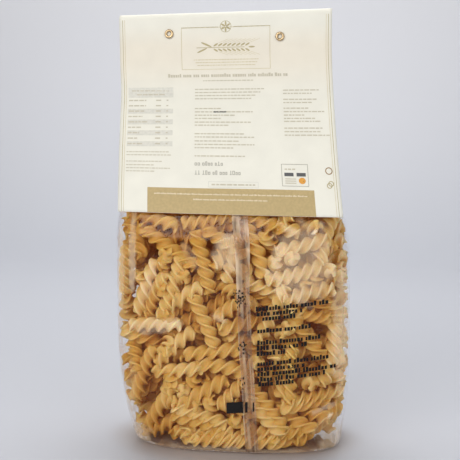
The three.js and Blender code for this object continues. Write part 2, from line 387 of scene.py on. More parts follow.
@dataclass(frozen=True)
class CardForm:
    """The folded card header: its line from the shown foot over the fold to the other foot."""

    bag: BagForm
    half_width: float = 62.0
    flare: float = 0.7
    foot_shift: float = 0.5
    lean_power: float = 1.4
    top: float = 250.0
    foot: float = 134.0
    thickness: float = 0.5
    gap: float = 0.9
    sag: float = 3.5
    top_slant: float = 0.9
    foot_slant: float = -1.1
    fold_radius: float = 3.3
    pinch_half: float = 1.9
    pinch_height: float = 229.0
    wave: float = 0.35
    wall_points: int = 400
    fold_points: int = 58
    slope_step: float = 1.2

    def half(self, z: Array) -> Array:
        """How far the card stands from the packet's middle plane at height z.

        Args:
            z: the heights.

        Returns:
            The distance at each.
        """
        over_bag = self.bag.half_depth(z) + self.gap + self.thickness / 2
        spread = np.maximum((z - self.pinch_height) / (self.top - self.fold_radius - self.pinch_height), 0)
        return np.maximum(over_bag, self.pinch_half + (self.fold_radius - self.pinch_half) * spread)

    def line(self) -> tuple[Array, Array, Array]:
        """The card's line as distances along it, and Y and Z there.

        Returns:
            Three arrays: distances, Y and Z, from the shown foot over the fold.
        """
        start = self.top - self.fold_radius
        z = np.linspace(self.foot, start, self.wall_points)
        turn = np.linspace(math.pi, 0, self.fold_points + 2)[1:-1]
        y = np.concatenate([-self.half(z), self.fold_radius * np.cos(turn), self.half(z[::-1])])
        z = np.concatenate([z, start + self.fold_radius * np.sin(turn), z[::-1]])
        run = np.concatenate([[0], np.cumsum(np.hypot(np.diff(y), np.diff(z)))])
        return run, y, z

    def along(self, z: Array, face: Face) -> Array:
        """The distance along the card's line at height z on one face.

        Args:
            z: the heights.
            face: the face that the point lies on.

        Returns:
            The distance at each height.
        """
        run, _, heights = self.line()
        near = np.interp(z, heights[: self.wall_points], run[: self.wall_points])
        return near if face is Face.SHOWN else run[-1] - near

    def warp(self, share: Array, part: Array) -> Array:
        """The card's slight waves, as heights, for shares across it and along its line."""
        return self.wave * np.sin(share * 5.1) * np.sin(part * 23) * np.abs(part - 0.5)

    def place(self, share: Array, along: Array, lift: Array) -> Array:
        """Points of the card.

        Args:
            share: from -1 at the card's left edge to 1 at its right edge, as the shown face sees it.
            along: distance along the card's line.
            lift: height over the middle of the card's thickness, outwards.

        Returns:
            An array of points.
        """
        run, line_y, line_z = self.line()
        y, z = np.interp(along, run, line_y), np.interp(along, run, line_z)
        ahead = np.minimum(along + self.slope_step, run[-1])
        behind = np.maximum(along - self.slope_step, 0)
        dy = np.interp(ahead, run, line_y) - np.interp(behind, run, line_y)
        dz = np.interp(ahead, run, line_z) - np.interp(behind, run, line_z)
        size = np.hypot(dy, dz)
        height = np.clip((z - self.foot) / (self.top - self.foot), 0, 1)
        low = np.clip((self.bag.shoulder_end - z) / (self.bag.shoulder_end - self.foot), 0, 1)
        flare = np.clip((self.pinch_height - z) / (self.pinch_height - self.foot), 0, 1)
        slant = (self.foot_slant + (self.top_slant - self.foot_slant) * height) * share
        middle = self.bag.top_shift + (self.foot_shift - self.bag.top_shift) * flare**self.lean_power
        sagged = y - np.sign(y) * self.sag * low * share**2
        x = middle + share * (self.half_width + self.flare * flare)
        return np.stack([x, sagged - lift * dz / size, z + slant + lift * dy / size], -1)


def corners(mesh: bpy.types.Mesh) -> Array:
    """A mesh's vertices as rows of X, Y and Z.

    Args:
        mesh: the mesh.

    Returns:
        An array of points in the mesh's own units.
    """
    flat = np.empty(len(mesh.vertices) * 3)
    mesh.vertices.foreach_get("co", flat)
    return flat.reshape(-1, 3)


def put_corners(mesh: bpy.types.Mesh, points: Array) -> None:
    """Moves a mesh's vertices to points in millimetres."""
    mesh.vertices.foreach_set("co", (points * MM).ravel())
    mesh.update()


def write_values(mesh: bpy.types.Mesh, name: str, values: Array) -> None:
    """Gives each vertex a value that a material reads by its name."""
    layer = mesh.attributes.new(name, "FLOAT", "POINT")
    layer.data.foreach_set("value", values.astype(np.float32))


def sheet_mesh(name: str, columns: int, rows: int, place: Placing) -> bpy.types.Mesh:
    """A grid of cells whose corners are put where place says.

    Args:
        name: the mesh's name.
        columns: cells along the first share.
        rows: cells along the second share.
        place: gives points in millimetres for two arrays of shares from 0 to 1.

    Returns:
        The mesh, in metres, with a UV map of the two shares.
    """
    bm = bmesh.new()
    bm.loops.layers.uv.new("UVMap")
    bmesh.ops.create_grid(bm, x_segments=columns, y_segments=rows, size=1.0, calc_uvs=True)
    mesh = bpy.data.meshes.new(name)
    bm.to_mesh(mesh)
    bm.free()
    share = (corners(mesh)[:, :2] + 1) / 2
    put_corners(mesh, place(share[:, 0], share[:, 1]))
    return mesh


def merged(mesh: bpy.types.Mesh, gap: float = 1e-6) -> bpy.types.Mesh:
    """Merges a mesh's touching vertices and drops faces that have closed up.

    Args:
        mesh: the mesh, which is changed.
        gap: how near two vertices are one.

    Returns:
        The same mesh.
    """
    bm = bmesh.new()
    bm.from_mesh(mesh)
    bmesh.ops.remove_doubles(bm, verts=bm.verts, dist=gap)
    bmesh.ops.dissolve_degenerate(bm, edges=bm.edges, dist=gap)
    bm.to_mesh(mesh)
    bm.free()
    return mesh


def linked(name: str, data: bpy.types.ID) -> bpy.types.Object:
    """A new object in the scene.

    Args:
        name: its name.
        data: its mesh, light or camera.

    Returns:
        The object.
    """
    thing = bpy.data.objects.new(name, data)
    bpy.context.scene.collection.objects.link(thing)
    return thing


def stand_piece(name: str, mesh: bpy.types.Mesh, finish: bpy.types.Material,
                smooth: bool = True) -> bpy.types.Object:
    """Puts a finished mesh in the scene as a piece that rides on the packet's body.

    Args:
        name: the piece's name.
        mesh: its mesh, already in place.
        finish: its material.
        smooth: whether its faces are shaded as one smooth surface.

    Returns:
        The piece.
    """
    piece = linked(name, mesh)
    mesh.materials.clear()
    mesh.materials.append(finish)
    if smooth:
        mesh.shade_smooth()
    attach(piece, BODY)
    log.info("%s: %d faces", name, len(mesh.polygons))
    return piece


class Nodes:
    """A material's node tree, with short ways to add and join nodes."""

    def __init__(self, name: str) -> None:
        """Makes an empty node material of that name.

        Args:
            name: the material's name.
        """
        self.material = bpy.data.materials.new(name)
        self.material.use_nodes = True
        self.tree = self.material.node_tree
        self.tree.nodes.clear()
        self.output = self.add("ShaderNodeOutputMaterial")

    def add(self, kind: str, **values: object) -> bpy.types.Node:
        """Adds a node; values set its inputs by name, with spaces as underscores.

        Args:
            kind: the node's type.
            values: inputs or settings by name.

        Returns:
            The node.
        """
        node = self.tree.nodes.new(kind)
        for key, value in values.items():
            label = key.replace("_", " ")
            if label in node.inputs:
                node.inputs[label].default_value = value
            else:
                setattr(node, key, value)
        return node

    def join(self, source: Socket, target: Socket) -> None:
        """Joins an output to an input."""
        self.tree.links.new(source, target)

    def place(self, scale: tuple[float, float, float] = (1, 1, 1)) -> Socket:
        """Coordinates of the piece, stretched by scale.

        Args:
            scale: the stretch along X, Y and Z.

        Returns:
            The coordinates.
        """
        source = self.add("ShaderNodeTexCoord")
        mapping = self.add("ShaderNodeMapping")
        mapping.inputs["Scale"].default_value = scale
        self.join(source.outputs["Object"], mapping.inputs["Vector"])
        return mapping.outputs["Vector"]

    def height(self) -> Socket:
        """How high a point of the piece stands.

        Returns:
            The point's Z in metres.
        """
        split = self.add("ShaderNodeSeparateXYZ")
        self.join(self.place(), split.inputs["Vector"])
        return split.outputs["Z"]

    def noise(self, where: Socket, scale: float, detail: float = 3.0, distortion: float = 0.0) -> Socket:
        """A noise pattern's value.

        Args:
            where: the coordinates.
            scale: how fine the pattern is.
            detail: how many finer layers it has.
            distortion: how far it is swirled.

        Returns:
            A value from 0 to 1.
        """
        node = self.add("ShaderNodeTexNoise", Scale=scale, Detail=detail, Distortion=distortion)
        self.join(where, node.inputs["Vector"])
        return node.outputs["Fac"]

    def ramp(self, value: Socket, stops: list[tuple[float, Colour]]) -> Socket:
        """A value turned into colours by stops of place and colour.

        Args:
            value: the value.
            stops: places from 0 to 1 with their colours.

        Returns:
            The colour.
        """
        node = self.add("ShaderNodeValToRGB")
        elements = node.color_ramp.elements
        while len(elements) < len(stops):
            elements.new(0.5)
        for element, (at, colour) in zip(elements, stops):
            element.position = at
            element.color = (*colour, 1.0)
        self.join(value, node.inputs["Fac"])
        return node.outputs["Color"]

    def multiply(self, first: Socket, second: Socket) -> Socket:
        """Two colours multiplied.

        Args:
            first: one colour.
            second: the other.

        Returns:
            Their product.
        """
        node = self.add("ShaderNodeMix", data_type="RGBA", blend_type="MULTIPLY")
        node.inputs["Factor"].default_value = 1.0
        self.join(first, node.inputs[6])
        self.join(second, node.inputs[7])
        return node.outputs[2]

    def blend(self, amount: Socket, first: Socket, second: Socket) -> Socket:
        """Two shaders blended: only the first where the amount is 0, only the second where it is 1.

        Args:
            amount: the share of the second.
            first: one shader.
            second: the other.

        Returns:
            The blended shader.
        """
        node = self.add("ShaderNodeMixShader")
        for entry, source in zip(node.inputs, (amount, first, second)):
            self.join(source, entry)
        return node.outputs[0]

    def bump(self, height: Socket, strength: float, distance: float) -> Socket:
        """A bumped normal.

        Args:
            height: the height of the surface.
            strength: how much of it shows.
            distance: how high it stands, in metres.

        Returns:
            The normal.
        """
        node = self.add("ShaderNodeBump", Strength=strength, Distance=distance)
        self.join(height, node.inputs["Height"])
        return node.outputs["Normal"]

    def math(self, operation: str, first: object, second: object = 0.0) -> Socket:
        """A math node on two sockets or numbers, kept between 0 and 1.

        Args:
            operation: the node's operation.
            first: a socket or a number.
            second: another.

        Returns:
            The result.
        """
        node = self.add("ShaderNodeMath", operation=operation, use_clamp=True)
        for entry, value in zip(node.inputs, (first, second)):
            if isinstance(value, bpy.types.NodeSocket):
                self.join(value, entry)
            else:
                entry.default_value = value
        return node.outputs["Value"]

    def line(self, value: Socket, slope: float, start: float, clamp: bool = False) -> Socket:
        """A straight line of a value, kept between 0 and 1 where clamp is set.

        Args:
            value: the value.
            slope: what it is multiplied by.
            start: what is added.
            clamp: whether the result stays between 0 and 1.

        Returns:
            The result.
        """
        result = self.math("MULTIPLY_ADD", value, slope)
        result.node.inputs[2].default_value = start
        result.node.use_clamp = clamp
        return result

    def finished(self, surface: Socket) -> bpy.types.Material:
        """Puts the shader on the material's surface and gives the material."""
        self.join(surface, self.output.inputs["Surface"])
        return self.material


@dataclass(frozen=True)
class PastaFinish:
    """Dry durum pasta: straw ridges, golden valleys, and brown where little light comes through, all painted
    light and shade read from the lit attribute, with cream under painted sheens and a faint painted glow.
    """

    name: str
    gold: Colour
    straw: Colour
    # deep is painted shade deep in the heap, glow a faint painted glow for light that comes through the
    # pasta, and cream a painted sheen.
    deep: Colour = (0.40, 0.12, 0.018)
    glow: Colour = (0.022, 0.006, 0.0005)
    amber: Colour = (0.59, 0.28, 0.045)
    cream: Colour = (0.97, 0.76, 0.44)
    unevenness: float = 0.3

    def material(self) -> bpy.types.Material:
        """The pasta's material.

        Returns:
            The material.
        """
        nodes = Nodes(self.name)
        where = nodes.place()
        shader = nodes.add("ShaderNodeBsdfPrincipled", Roughness=0.52, Specular_IOR_Level=0.28,
                           Subsurface_Weight=0.35, Subsurface_Scale=0.002)
        shader.inputs["Subsurface Radius"].default_value = (1.0, 0.40, 0.10)
        shader.inputs["Emission Color"].default_value = (*self.glow, 1)
        shader.inputs["Emission Strength"].default_value = 1.0
        lit = nodes.add("ShaderNodeAttribute", attribute_name=LIT).outputs["Fac"]
        uneven = nodes.line(nodes.noise(where, 55.0, 2.0), self.unevenness, -self.unevenness / 2)
        colours = (self.deep, self.amber, self.gold, self.straw, self.cream)
        stops = list(zip((0.0, 0.28, 0.56, 0.8, 1.0), colours))
        nodes.join(nodes.ramp(nodes.math("ADD", lit, uneven), stops), shader.inputs["Base Color"])
        grain = nodes.noise(where, 1400.0, 4.0)
        nodes.join(nodes.bump(grain, 0.22, 0.0004), shader.inputs["Normal"])
        return nodes.finished(shader.outputs["BSDF"])


@dataclass(frozen=True)
class FilmFinish:
    """Clear packing film: mostly see-through, glossy, with a thin milky haze in patches and painted sheens
    for reflections, glints and highlights of the lights.
    """

    name: str
    veil_and_sheen: float
    veil_patches: float
    gloss: float
    roughness: float
    tint: Colour = (0.985, 0.985, 0.99)
    # The diffuse colour of the film's milky haze and of its painted sheens.
    milk_and_sheen: Colour = (1.0, 0.80, 0.55)
    ior: float = 1.5
    most_gloss: float = 0.55

    def material(self) -> bpy.types.Material:
        """The film's material.

        Returns:
            The material.
        """
        nodes = Nodes(self.name)
        clear = nodes.add("ShaderNodeBsdfTransparent")
        clear.inputs["Color"].default_value = (*self.tint, 1)
        milk_and_sheen = nodes.add("ShaderNodeBsdfDiffuse")
        milk_and_sheen.inputs["Color"].default_value = (*self.milk_and_sheen, 1)
        body = nodes.blend(self.haze_and_sheen(nodes), clear.outputs[0], milk_and_sheen.outputs[0])
        shine = nodes.add("ShaderNodeBsdfGlossy", Roughness=self.roughness)
        shine.inputs["Color"].default_value = (1, 1, 1, 1)
        facing = nodes.add("ShaderNodeFresnel", IOR=self.ior)
        normal = nodes.bump(nodes.noise(nodes.place(), 210.0, 5.0, 0.8), 0.14, 0.0007)
        nodes.join(normal, facing.inputs["Normal"])
        nodes.join(normal, shine.inputs["Normal"])
        amount = nodes.math("MINIMUM", nodes.math("MULTIPLY", facing.outputs[0], self.gloss), self.most_gloss)
        return nodes.finished(nodes.blend(amount, body, shine.outputs[0]))

    def haze_and_sheen(self, nodes: Nodes) -> Socket:
        """How milky the film is: its own even haze, faint clouds and wisps, and the painted sheens laid on
        it.

        Args:
            nodes: the material's node tree.

        Returns:
            A value from 0 to 1.
        """
        cloud = nodes.line(nodes.noise(nodes.place(), 26.0, 2.0, 0.6), 2.4, -0.85, clamp=True)
        streak = nodes.noise(nodes.place((260, 260, 34)), 1.0, 3.0, 0.4)
        amount = nodes.math("ADD", nodes.math("MULTIPLY", cloud, self.veil_patches), self.veil_and_sheen)
        wisps = nodes.math("MULTIPLY", nodes.math("SUBTRACT", streak, 0.52), self.veil_patches * 1.2)
        # Painted sheens: reflections, glints and highlights painted as milky patches.
        laid = nodes.add("ShaderNodeAttribute", attribute_name=VEIL_AND_SHEEN).outputs["Fac"]
        patches = nodes.math("MULTIPLY", laid, nodes.line(streak, 1.1, 0.42))
        return nodes.math("ADD", nodes.math("ADD", amount, wisps), patches)


@dataclass(frozen=True)
class CardFinish:
    """Uncoated cream card with fine fibres and faint clouding, and a warm, slightly darker painted shade
    where it bends.
    """

    name: str
    colour: Colour
    bend_shade: Colour = (0.985, 0.94, 0.90)
    clouding: float = 0.955
    bend: tuple = (0.202, 0.221, 0.231, 0.243)

    def material(self) -> bpy.types.Material:
        """The card's material.

        Returns:
            The material.
        """
        nodes = Nodes(self.name)
        shader = nodes.add("ShaderNodeBsdfPrincipled", Roughness=0.62, Specular_IOR_Level=0.35)
        darker = tuple(c * self.clouding for c in self.colour)
        colour = nodes.ramp(nodes.noise(nodes.place(), 90.0, 6.0), [(0.3, darker), (0.7, self.colour)])
        # Painted shade: a warm, slightly darker band where the card bends below its fold.
        bend = nodes.ramp(nodes.height(), list(zip(self.bend, (WHITE, self.bend_shade, self.bend_shade, WHITE))))
        nodes.join(nodes.multiply(colour, bend), shader.inputs["Base Color"])
        fibres = nodes.noise(nodes.place((2600, 2600, 900)), 1.0, 3.0)
        nodes.join(nodes.bump(fibres, 0.12, 0.0002), shader.inputs["Normal"])
        return nodes.finished(shader.outputs["BSDF"])


@dataclass(frozen=True)
class InkFinish:
    """A printed ink, slightly uneven as it lies on its ground."""

    ink: Ink
    roughness: float = 0.55
    shine: float = 0.5

    def material(self) -> bpy.types.Material:
        """The ink's material.

        Returns:
            The material.
        """
        nodes = Nodes("ink_" + self.ink.name.lower())
        shader = nodes.add("ShaderNodeBsdfPrincipled", Roughness=self.roughness)
        shader.inputs["Specular IOR Level"].default_value = self.shine
        thin = tuple(min(c * 1.12 + 0.004, 1) for c in self.ink.value)
        lay = nodes.noise(nodes.place(), 700.0, 3.0)
        nodes.join(nodes.ramp(lay, [(0.35, self.ink.value), (0.7, thin)]), shader.inputs["Base Color"])
        nodes.join(nodes.bump(lay, 0.05, 0.0001), shader.inputs["Normal"])
        return nodes.finished(shader.outputs["BSDF"])


@dataclass(frozen=True)
class BrassFinish:
    """Dull bronzed brass with faint tarnish."""

    name: str = "eyelet_brass"
    tarnished: Colour = (0.38, 0.26, 0.14)
    bright: Colour = (0.72, 0.56, 0.34)
    dull: float = 0.42
    polished: float = 0.27

    def material(self) -> bpy.types.Material:
        """The eyelets' material.

        Returns:
            The material.
        """
        nodes = Nodes(self.name)
        shader = nodes.add("ShaderNodeBsdfPrincipled", Metallic=1.0)
        tarnish = nodes.noise(nodes.place(), 1200.0, 4.0)
        colour = nodes.ramp(tarnish, [(0.35, self.tarnished), (0.7, self.bright)])
        nodes.join(colour, shader.inputs["Base Color"])
        rough = nodes.ramp(tarnish, [(0.3, (self.dull,) * 3), (0.7, (self.polished,) * 3)])
        nodes.join(rough, shader.inputs["Roughness"])
        nodes.join(nodes.bump(tarnish, 0.1, 0.0002), shader.inputs["Normal"])
        return nodes.finished(shader.outputs["BSDF"])


@dataclass(frozen=True)
class StageFinish:
    """The plain pale ground, with a painted brown shadow where the packet stands on it."""

    name: str = "stage_paper"
    floor: Colour = (0.522, 0.536, 0.58)
    wall: Colour = (0.88, 0.88, 0.905)
    shade: Colour = (0.84, 0.76, 0.70)

    def material(self) -> bpy.types.Material:
        """The ground's material: a floor painted darker where less light falls, paling as it rises into the
        backdrop.

        Returns:
            The material.
        """
        nodes = Nodes(self.name)
        shader = nodes.add("ShaderNodeBsdfPrincipled", Roughness=0.6)
        colour = nodes.ramp(nodes.height(), [(0.02, self.floor), (0.7, self.wall)])
        # Painted shadow: browner and darker round the packet's foot.
        around = nodes.add("ShaderNodeVectorMath", operation="LENGTH")
        nodes.join(nodes.place((1, 1.3, 1)), around.inputs[0])
        foot = nodes.ramp(around.outputs["Value"], [(0.058, self.shade), (0.076, WHITE)])
        nodes.join(nodes.multiply(colour, foot), shader.inputs["Base Color"])
        return nodes.finished(shader.outputs["BSDF"])


@dataclass(frozen=True)
class TwistForm:
    """The shape of a three-bladed twist of pasta, and how far its kinds differ."""

    kinds: int = 12
    shortest: float = 29.0
    longest: float = 37.0
    radius: float = 4.6
    pitch: tuple = (16.0, 21.5)
    bend: tuple = (0.3, 2.2)
    thickness: tuple = (0.92, 1.05)
    lobe: tuple = ((0, 1.0), (10, 0.965), (17, 0.74), (31, 0.50))
    valley: float = 0.38
    swirl: float = 24.0
    end_start: float = 0.86
    end_narrowing: float = 0.2
    rows: int = 28

    def draw(self, rng: Draws) -> list[Twist]:
        """One twist of each kind, from the shortest to the longest.

        Args:
            rng: the source of the draws.

        Returns:
            The twists, each with its points, triangles and ridges.
        """
        return [
            self.twist(size, rng.uniform(*self.pitch), rng.uniform(*self.bend), rng.uniform(*self.thickness))
            for size in np.linspace(self.shortest, self.longest, self.kinds)
        ]

    def kind(self, length: Array) -> Array:
        """Which kind is nearest to each length."""
        kind = np.round((length - self.shortest) / (self.longest - self.shortest) * (self.kinds - 1))
        return np.clip(kind, 0, self.kinds - 1).astype(int)

    def twist(self, length: float, pitch: float, bend: float, thickness: float) -> Twist:
        """One twist of pasta about its own middle, along Z.

        Args:
            length: its length.
            pitch: its length for one full turn.
            bend: how far its middle stands off the straight line.
            thickness: its radius as a share of the usual one.

        Returns:
            Its points, its triangles and how far out each point stands on its blades, from 0 to 1.
        """
        bm = bmesh.new()
        radii, turns = self.lobe_ring()
        ring = bmesh.ops.create_circle(bm, segments=len(radii), radius=1.0)["verts"]
        for vertex, radius, turn in zip(ring, radii, turns):
            size = self.radius * thickness * radius
            vertex.co = (size * math.cos(turn), size * math.sin(turn), -length / 2)
        bmesh.ops.spin(bm, geom=bm.verts[:] + bm.edges[:], cent=(0, 0, 0), axis=(0, 0, 1),
                       dvec=(0, 0, length / self.rows), angle=-2 * math.pi * length / pitch,
                       steps=self.rows, use_merge=False)
        ends = [edge for edge in bm.edges if edge.is_boundary]
        bmesh.ops.holes_fill(bm, edges=ends, sides=0)
        bmesh.ops.recalc_face_normals(bm, faces=bm.faces)
        outness = np.array([vertex.co.xy.length for vertex in bm.verts]) / (self.radius * thickness)
        for vertex in bm.verts:
            reach = 2 * vertex.co.z / length
            near_end = max((abs(reach) - self.end_start) / (1 - self.end_start), 0)
            drawn_in = 1 - self.end_narrowing * near_end**2
            vertex.co.x = vertex.co.x * drawn_in + bend * (0.5 - reach * reach)
            vertex.co.y *= drawn_in
        bmesh.ops.triangulate(bm, faces=bm.faces)
        bm.verts.index_update()
        points = np.array([vertex.co[:] for vertex in bm.verts])
        faces = np.array([[vertex.index for vertex in face.verts] for face in bm.faces])
        bm.free()
        return points, faces, np.clip((outness - self.valley) / (1 - self.valley), 0, 1)

    def lobe_ring(self) -> tuple[list[float], list[float]]:
        """The radius, as a share, and the turn of each point of a three-bladed section.

        Returns:
            The radii and the turns in radians, once round.
        """
        half = [(turn, radius) for turn, radius in self.lobe if turn > 0]
        blade = [(-turn, radius) for turn, radius in reversed(half)] + [self.lobe[0]] + half
        blade.append((60, self.valley))
        radii, turns = [], []
        for k in range(3):
            for turn, radius in blade:
                radii.append(radius)
                turns.append(math.radians(120 * k + turn - self.swirl * radius))
        return radii, turns


@dataclass(frozen=True)
class PastaLight:
    """How brightly each point of the pasta shows: most where it lies at the film, least deep inside."""

    form: BagForm
    usual: float = 0.685
    side_gain: float = 0.035
    side_reach: float = 60.0
    valley_share: float = 0.84
    surface: float = 3.5
    deep_share: float = 0.28
    fade: float = 12.0
    sheen_gain: float = 0.48
    sheen_fade: float = 8.0
    shadow: float = 0.16
    shadow_rise: tuple = (98.0, 125.0)
    shadow_side: tuple = (5.0, 30.0)

    def at(self, points: Array, ridge: Array, pale: Array) -> Array:
        """How bright each point is.

        Args:
            points: the points.
            ridge: how far out each stands on its twist's blades, from 0 to 1.
            pale: how much paler its twist is painted, as a painted sheen.

        Returns:
            A value from 0 to 1 for each point.
        """
        x, y, z = points.T
        depth = self.form.half_depth(z)
        side = self.form.side(z, y / depth) - np.abs(x - self.form.middle(z))
        below = np.maximum(np.minimum(depth - np.abs(y), side) - self.surface, 0)
        near = self.deep_share + (1 - self.deep_share) * np.exp(-below / self.fade)
        # Painted sheen: paler near the film under the pasta's sheens and on the twists listed as paler.
        painted_sheen = np.max([sheen.at(points) for sheen in PASTA_SHEENS], axis=0)
        painted_sheen = np.maximum(painted_sheen, pale) * np.exp(-below / self.sheen_fade)
        shadow = smoothstep(z, *self.shadow_rise) * (1 - smoothstep(x, *self.shadow_side))
        ridges = self.valley_share + (1 - self.valley_share) * ridge
        lit = (self.usual + self.side_gain * x / self.side_reach) * (1 - self.shadow * shadow) * ridges * near
        return (lit + self.sheen_gain * painted_sheen).clip(0, 1)


@dataclass
class PastaFill:
    """Loose twists of pasta, settled in the bag."""

    form: BagForm
    shape: TwistForm = TwistForm()
    start_half_width: float = 58.0
    start_half_depth: float = 34.0
    pieces: int = 430
    foot_pieces: int = 11
    late_pieces: int = 32
    spread: float = 0.08
    contact_radius: float = 4.1
    end_reach: float = 5.0
    steps: int = 520
    fall: float = 0.07
    lowest: float = 5.0
    highest: float = 168.0
    floor_gap: float = 0.8
    foot_slack: float = 2.0
    foot_slack_end: float = 30.0
    top_slack: float = 0.5
    top_slack_rise: tuple = (95.0, 120.0)
    start_way: tuple = (1.0, 0.9, 0.9)
    drift_zone: tuple = (15.0, 45.0)
    flat_limit: float = 0.6
    widest_share: float = 0.985
    push: float = 0.32
    hold: float = 0.3
    pair_interval: int = 4
    last_moves: int = 12
    ring_height: float = 6.0
    ring_heights: tuple = (5.9, 7.5)
    ring_points: int = 320
    ring_first: int = 8
    ring_step: int = 4
    ring_unrest: float = 0.12
    gap_spots: int = 6000
    gap_low: tuple = (-62, -34, 4)
    gap_high: tuple = (62, 34, 162)
    gap_depth: tuple = (5, 12)
    gap_way: tuple = (1, 0.25, 0.8)
    seed: int = 11
    shades: int = 5
    film_gap: float = 1.0
    trees: list = field(default_factory=list)

    def confine(self, points: Array, margin: float) -> Array:
        """Moves points inside the bag, clear of its film by margin.

        Args:
            points: the points.
            margin: how far they keep from the film.

        Returns:
            The moved points.
        """
        x, y, z = points.T
        z = np.maximum(z, margin + self.floor_gap)
        depth = np.maximum(self.form.half_depth(z) - margin, 0.5)
        y = np.clip(y, -depth, depth)
        foot_slack = self.foot_slack * np.clip(1 - z / self.foot_slack_end, 0, 1)
        top_slack = self.top_slack * smoothstep(z, *self.top_slack_rise)
        reach = self.form.side(z, y / (depth + margin)) - margin - foot_slack - top_slack
        reach = np.maximum(reach, 1)
        middle = self.form.middle(z)
        x = np.clip(x, middle - reach, middle + reach)
        return np.stack([x, y, z], 1)

    def push_apart(self, low: Array, high: Array, pairs: tuple[Array, Array]) -> None:
        """Pushes overlapping twists apart, in place.

        Args:
            low: one end of each twist's core.
            high: the other end.
            pairs: the numbers of the twists that may overlap, two by two.
        """
        i, j = pairs
        d1, d2, r = high[i] - low[i], high[j] - low[j], low[i] - low[j]
        a, e, f = (d1 * d1).sum(1), (d2 * d2).sum(1), (d2 * r).sum(1)
        c, b = (d1 * r).sum(1), (d1 * d2).sum(1)
        denominator = np.maximum(a * e - b * b, 1e-6)
        s = np.clip((b * f - c * e) / denominator, 0, 1)
        t = (b * s + f) / e
        s = np.where(t < 0, np.clip(-c / a, 0, 1), np.where(t > 1, np.clip((b - c) / a, 0, 1), s))
        t = np.clip(t, 0, 1)
        apart = r + d1 * s[:, None] - d2 * t[:, None]
        distance = np.maximum(np.linalg.norm(apart, axis=1), 1e-6)
        overlap = np.maximum(2 * self.contact_radius - distance, 0)
        push = overlap[:, None] * self.push * apart / distance[:, None]
        for item, share, way in ((i, s[:, None], push), (j, t[:, None], -push)):
            np.add.at(low, item, way * (1 - share))
            np.add.at(high, item, way * share)

    def settle(self, rng: Draws) -> tuple[Array, Array]:
        """Lets the twists fall and settle.

        Args:
            rng: the source of the draws.

        Returns:
            The two ends of each twist's core.
        """
        n = self.pieces
        height = rng.uniform(self.lowest, self.highest, n)
        wide, deep = self.start_half_width, self.start_half_depth
        centre = np.stack([rng.uniform(-wide, wide, n), rng.uniform(-deep, deep, n), height], 1)
        way = rng.normal(size=(n, 3)) * self.start_way
        way /= np.linalg.norm(way, axis=1)[:, None]
        length = rng.uniform(self.shape.shortest, self.shape.longest, n)
        half = (length / 2 - self.contact_radius)[:, None]
        kept, edge = len(LAID), len(LAID) + self.foot_pieces
        centre[kept:edge], way[kept:edge] = self.foot_ring(rng)
        low, high = centre - way * half, centre + way * half
        home = self.laid_twists(half[:kept])
        low[:kept], high[:kept] = home
        margin = self.end_reach
        reach = 2 * (half.max() + self.contact_radius) + 1
        for step in range(self.steps):
            if step in (self.steps // 3, self.steps * 2 // 3):
                low, high, half = self.top_up(low, high, half, rng)
            calm = 1 - step / self.steps
            drift = self.drift((low + high) / 2) * calm
            low += drift
            high += drift
            low[:kept] += (home[0] - low[:kept]) * self.hold
            high[:kept] += (home[1] - high[:kept]) * self.hold
            if step % self.pair_interval == 0:
                centre = (low + high) / 2
                near = np.linalg.norm(centre[:, None] - centre[None], axis=2) < reach
                pairs = np.nonzero(np.triu(near, 1))
            self.push_apart(low, high, pairs)
            low, high = self.confine(low, margin), self.confine(high, margin)
            centre = (low + high) / 2
            way = high - low
            way /= np.linalg.norm(way, axis=1)[:, None]
            low, high = centre - way * half, centre + way * half
            for _ in range(2):
                low, high = self.move_in(low, high, margin)
        for _ in range(self.last_moves):
            low, high = self.move_in(low, high, margin)
        return low, high

    def drift(self, centre: Array) -> Array:
        """How far each twist falls and spreads towards the film in one step.

        Args:
            centre: the middle of each twist.

        Returns:
            Its move.
        """
        off = centre[:, 0] - self.form.middle(centre[:, 2])
        out = smoothstep(np.abs(off), *self.drift_zone) * np.sign(off)
        return np.stack([self.spread * out, self.spread * np.sign(centre[:, 1]), 0 * out - self.fall], 1)

    def laid_twists(self, half: Array) -> tuple[Array, Array]:
        """The ends of the twists that lie against the shown face.

        Args:
            half: half the length of each core.

        Returns:
            Both ends of each core.
        """
        x, z = np.array([(twist.x, twist.z) for twist in LAID], float).T
        tilt, point = np.radians([(twist.tilt, twist.point) for twist in LAID]).T
        way = np.stack([np.cos(tilt) * np.cos(point), -np.sin(point), np.sin(tilt) * np.cos(point)], 1)
        middle = np.stack([x, self.front(x, z) + half[:, 0] * np.abs(np.sin(point)), z], 1)
        low, high = middle - way * half, middle + way * half
        flat = np.abs(point) < self.flat_limit
        for end in (low, high):
            end[flat, 1] = self.front(end[flat, 0], end[flat, 2])
        return low, high

    def front(self, x: Array, z: Array) -> Array:
        """Where the core of a twist lies that touches the shown face at x and z.

        Args:
            x: places along X.
            z: the heights there.

        Returns:
            Y of the core.
        """
        power = self.form.squareness(z)
        off = np.abs(x - self.form.middle(z)) + self.end_reach
        share = np.clip(off / self.form.half_width(z), 0, self.widest_share)
        return -np.maximum(self.form.half_depth(z) * (1 - share**power) ** (1 / power) - self.end_reach, 0)

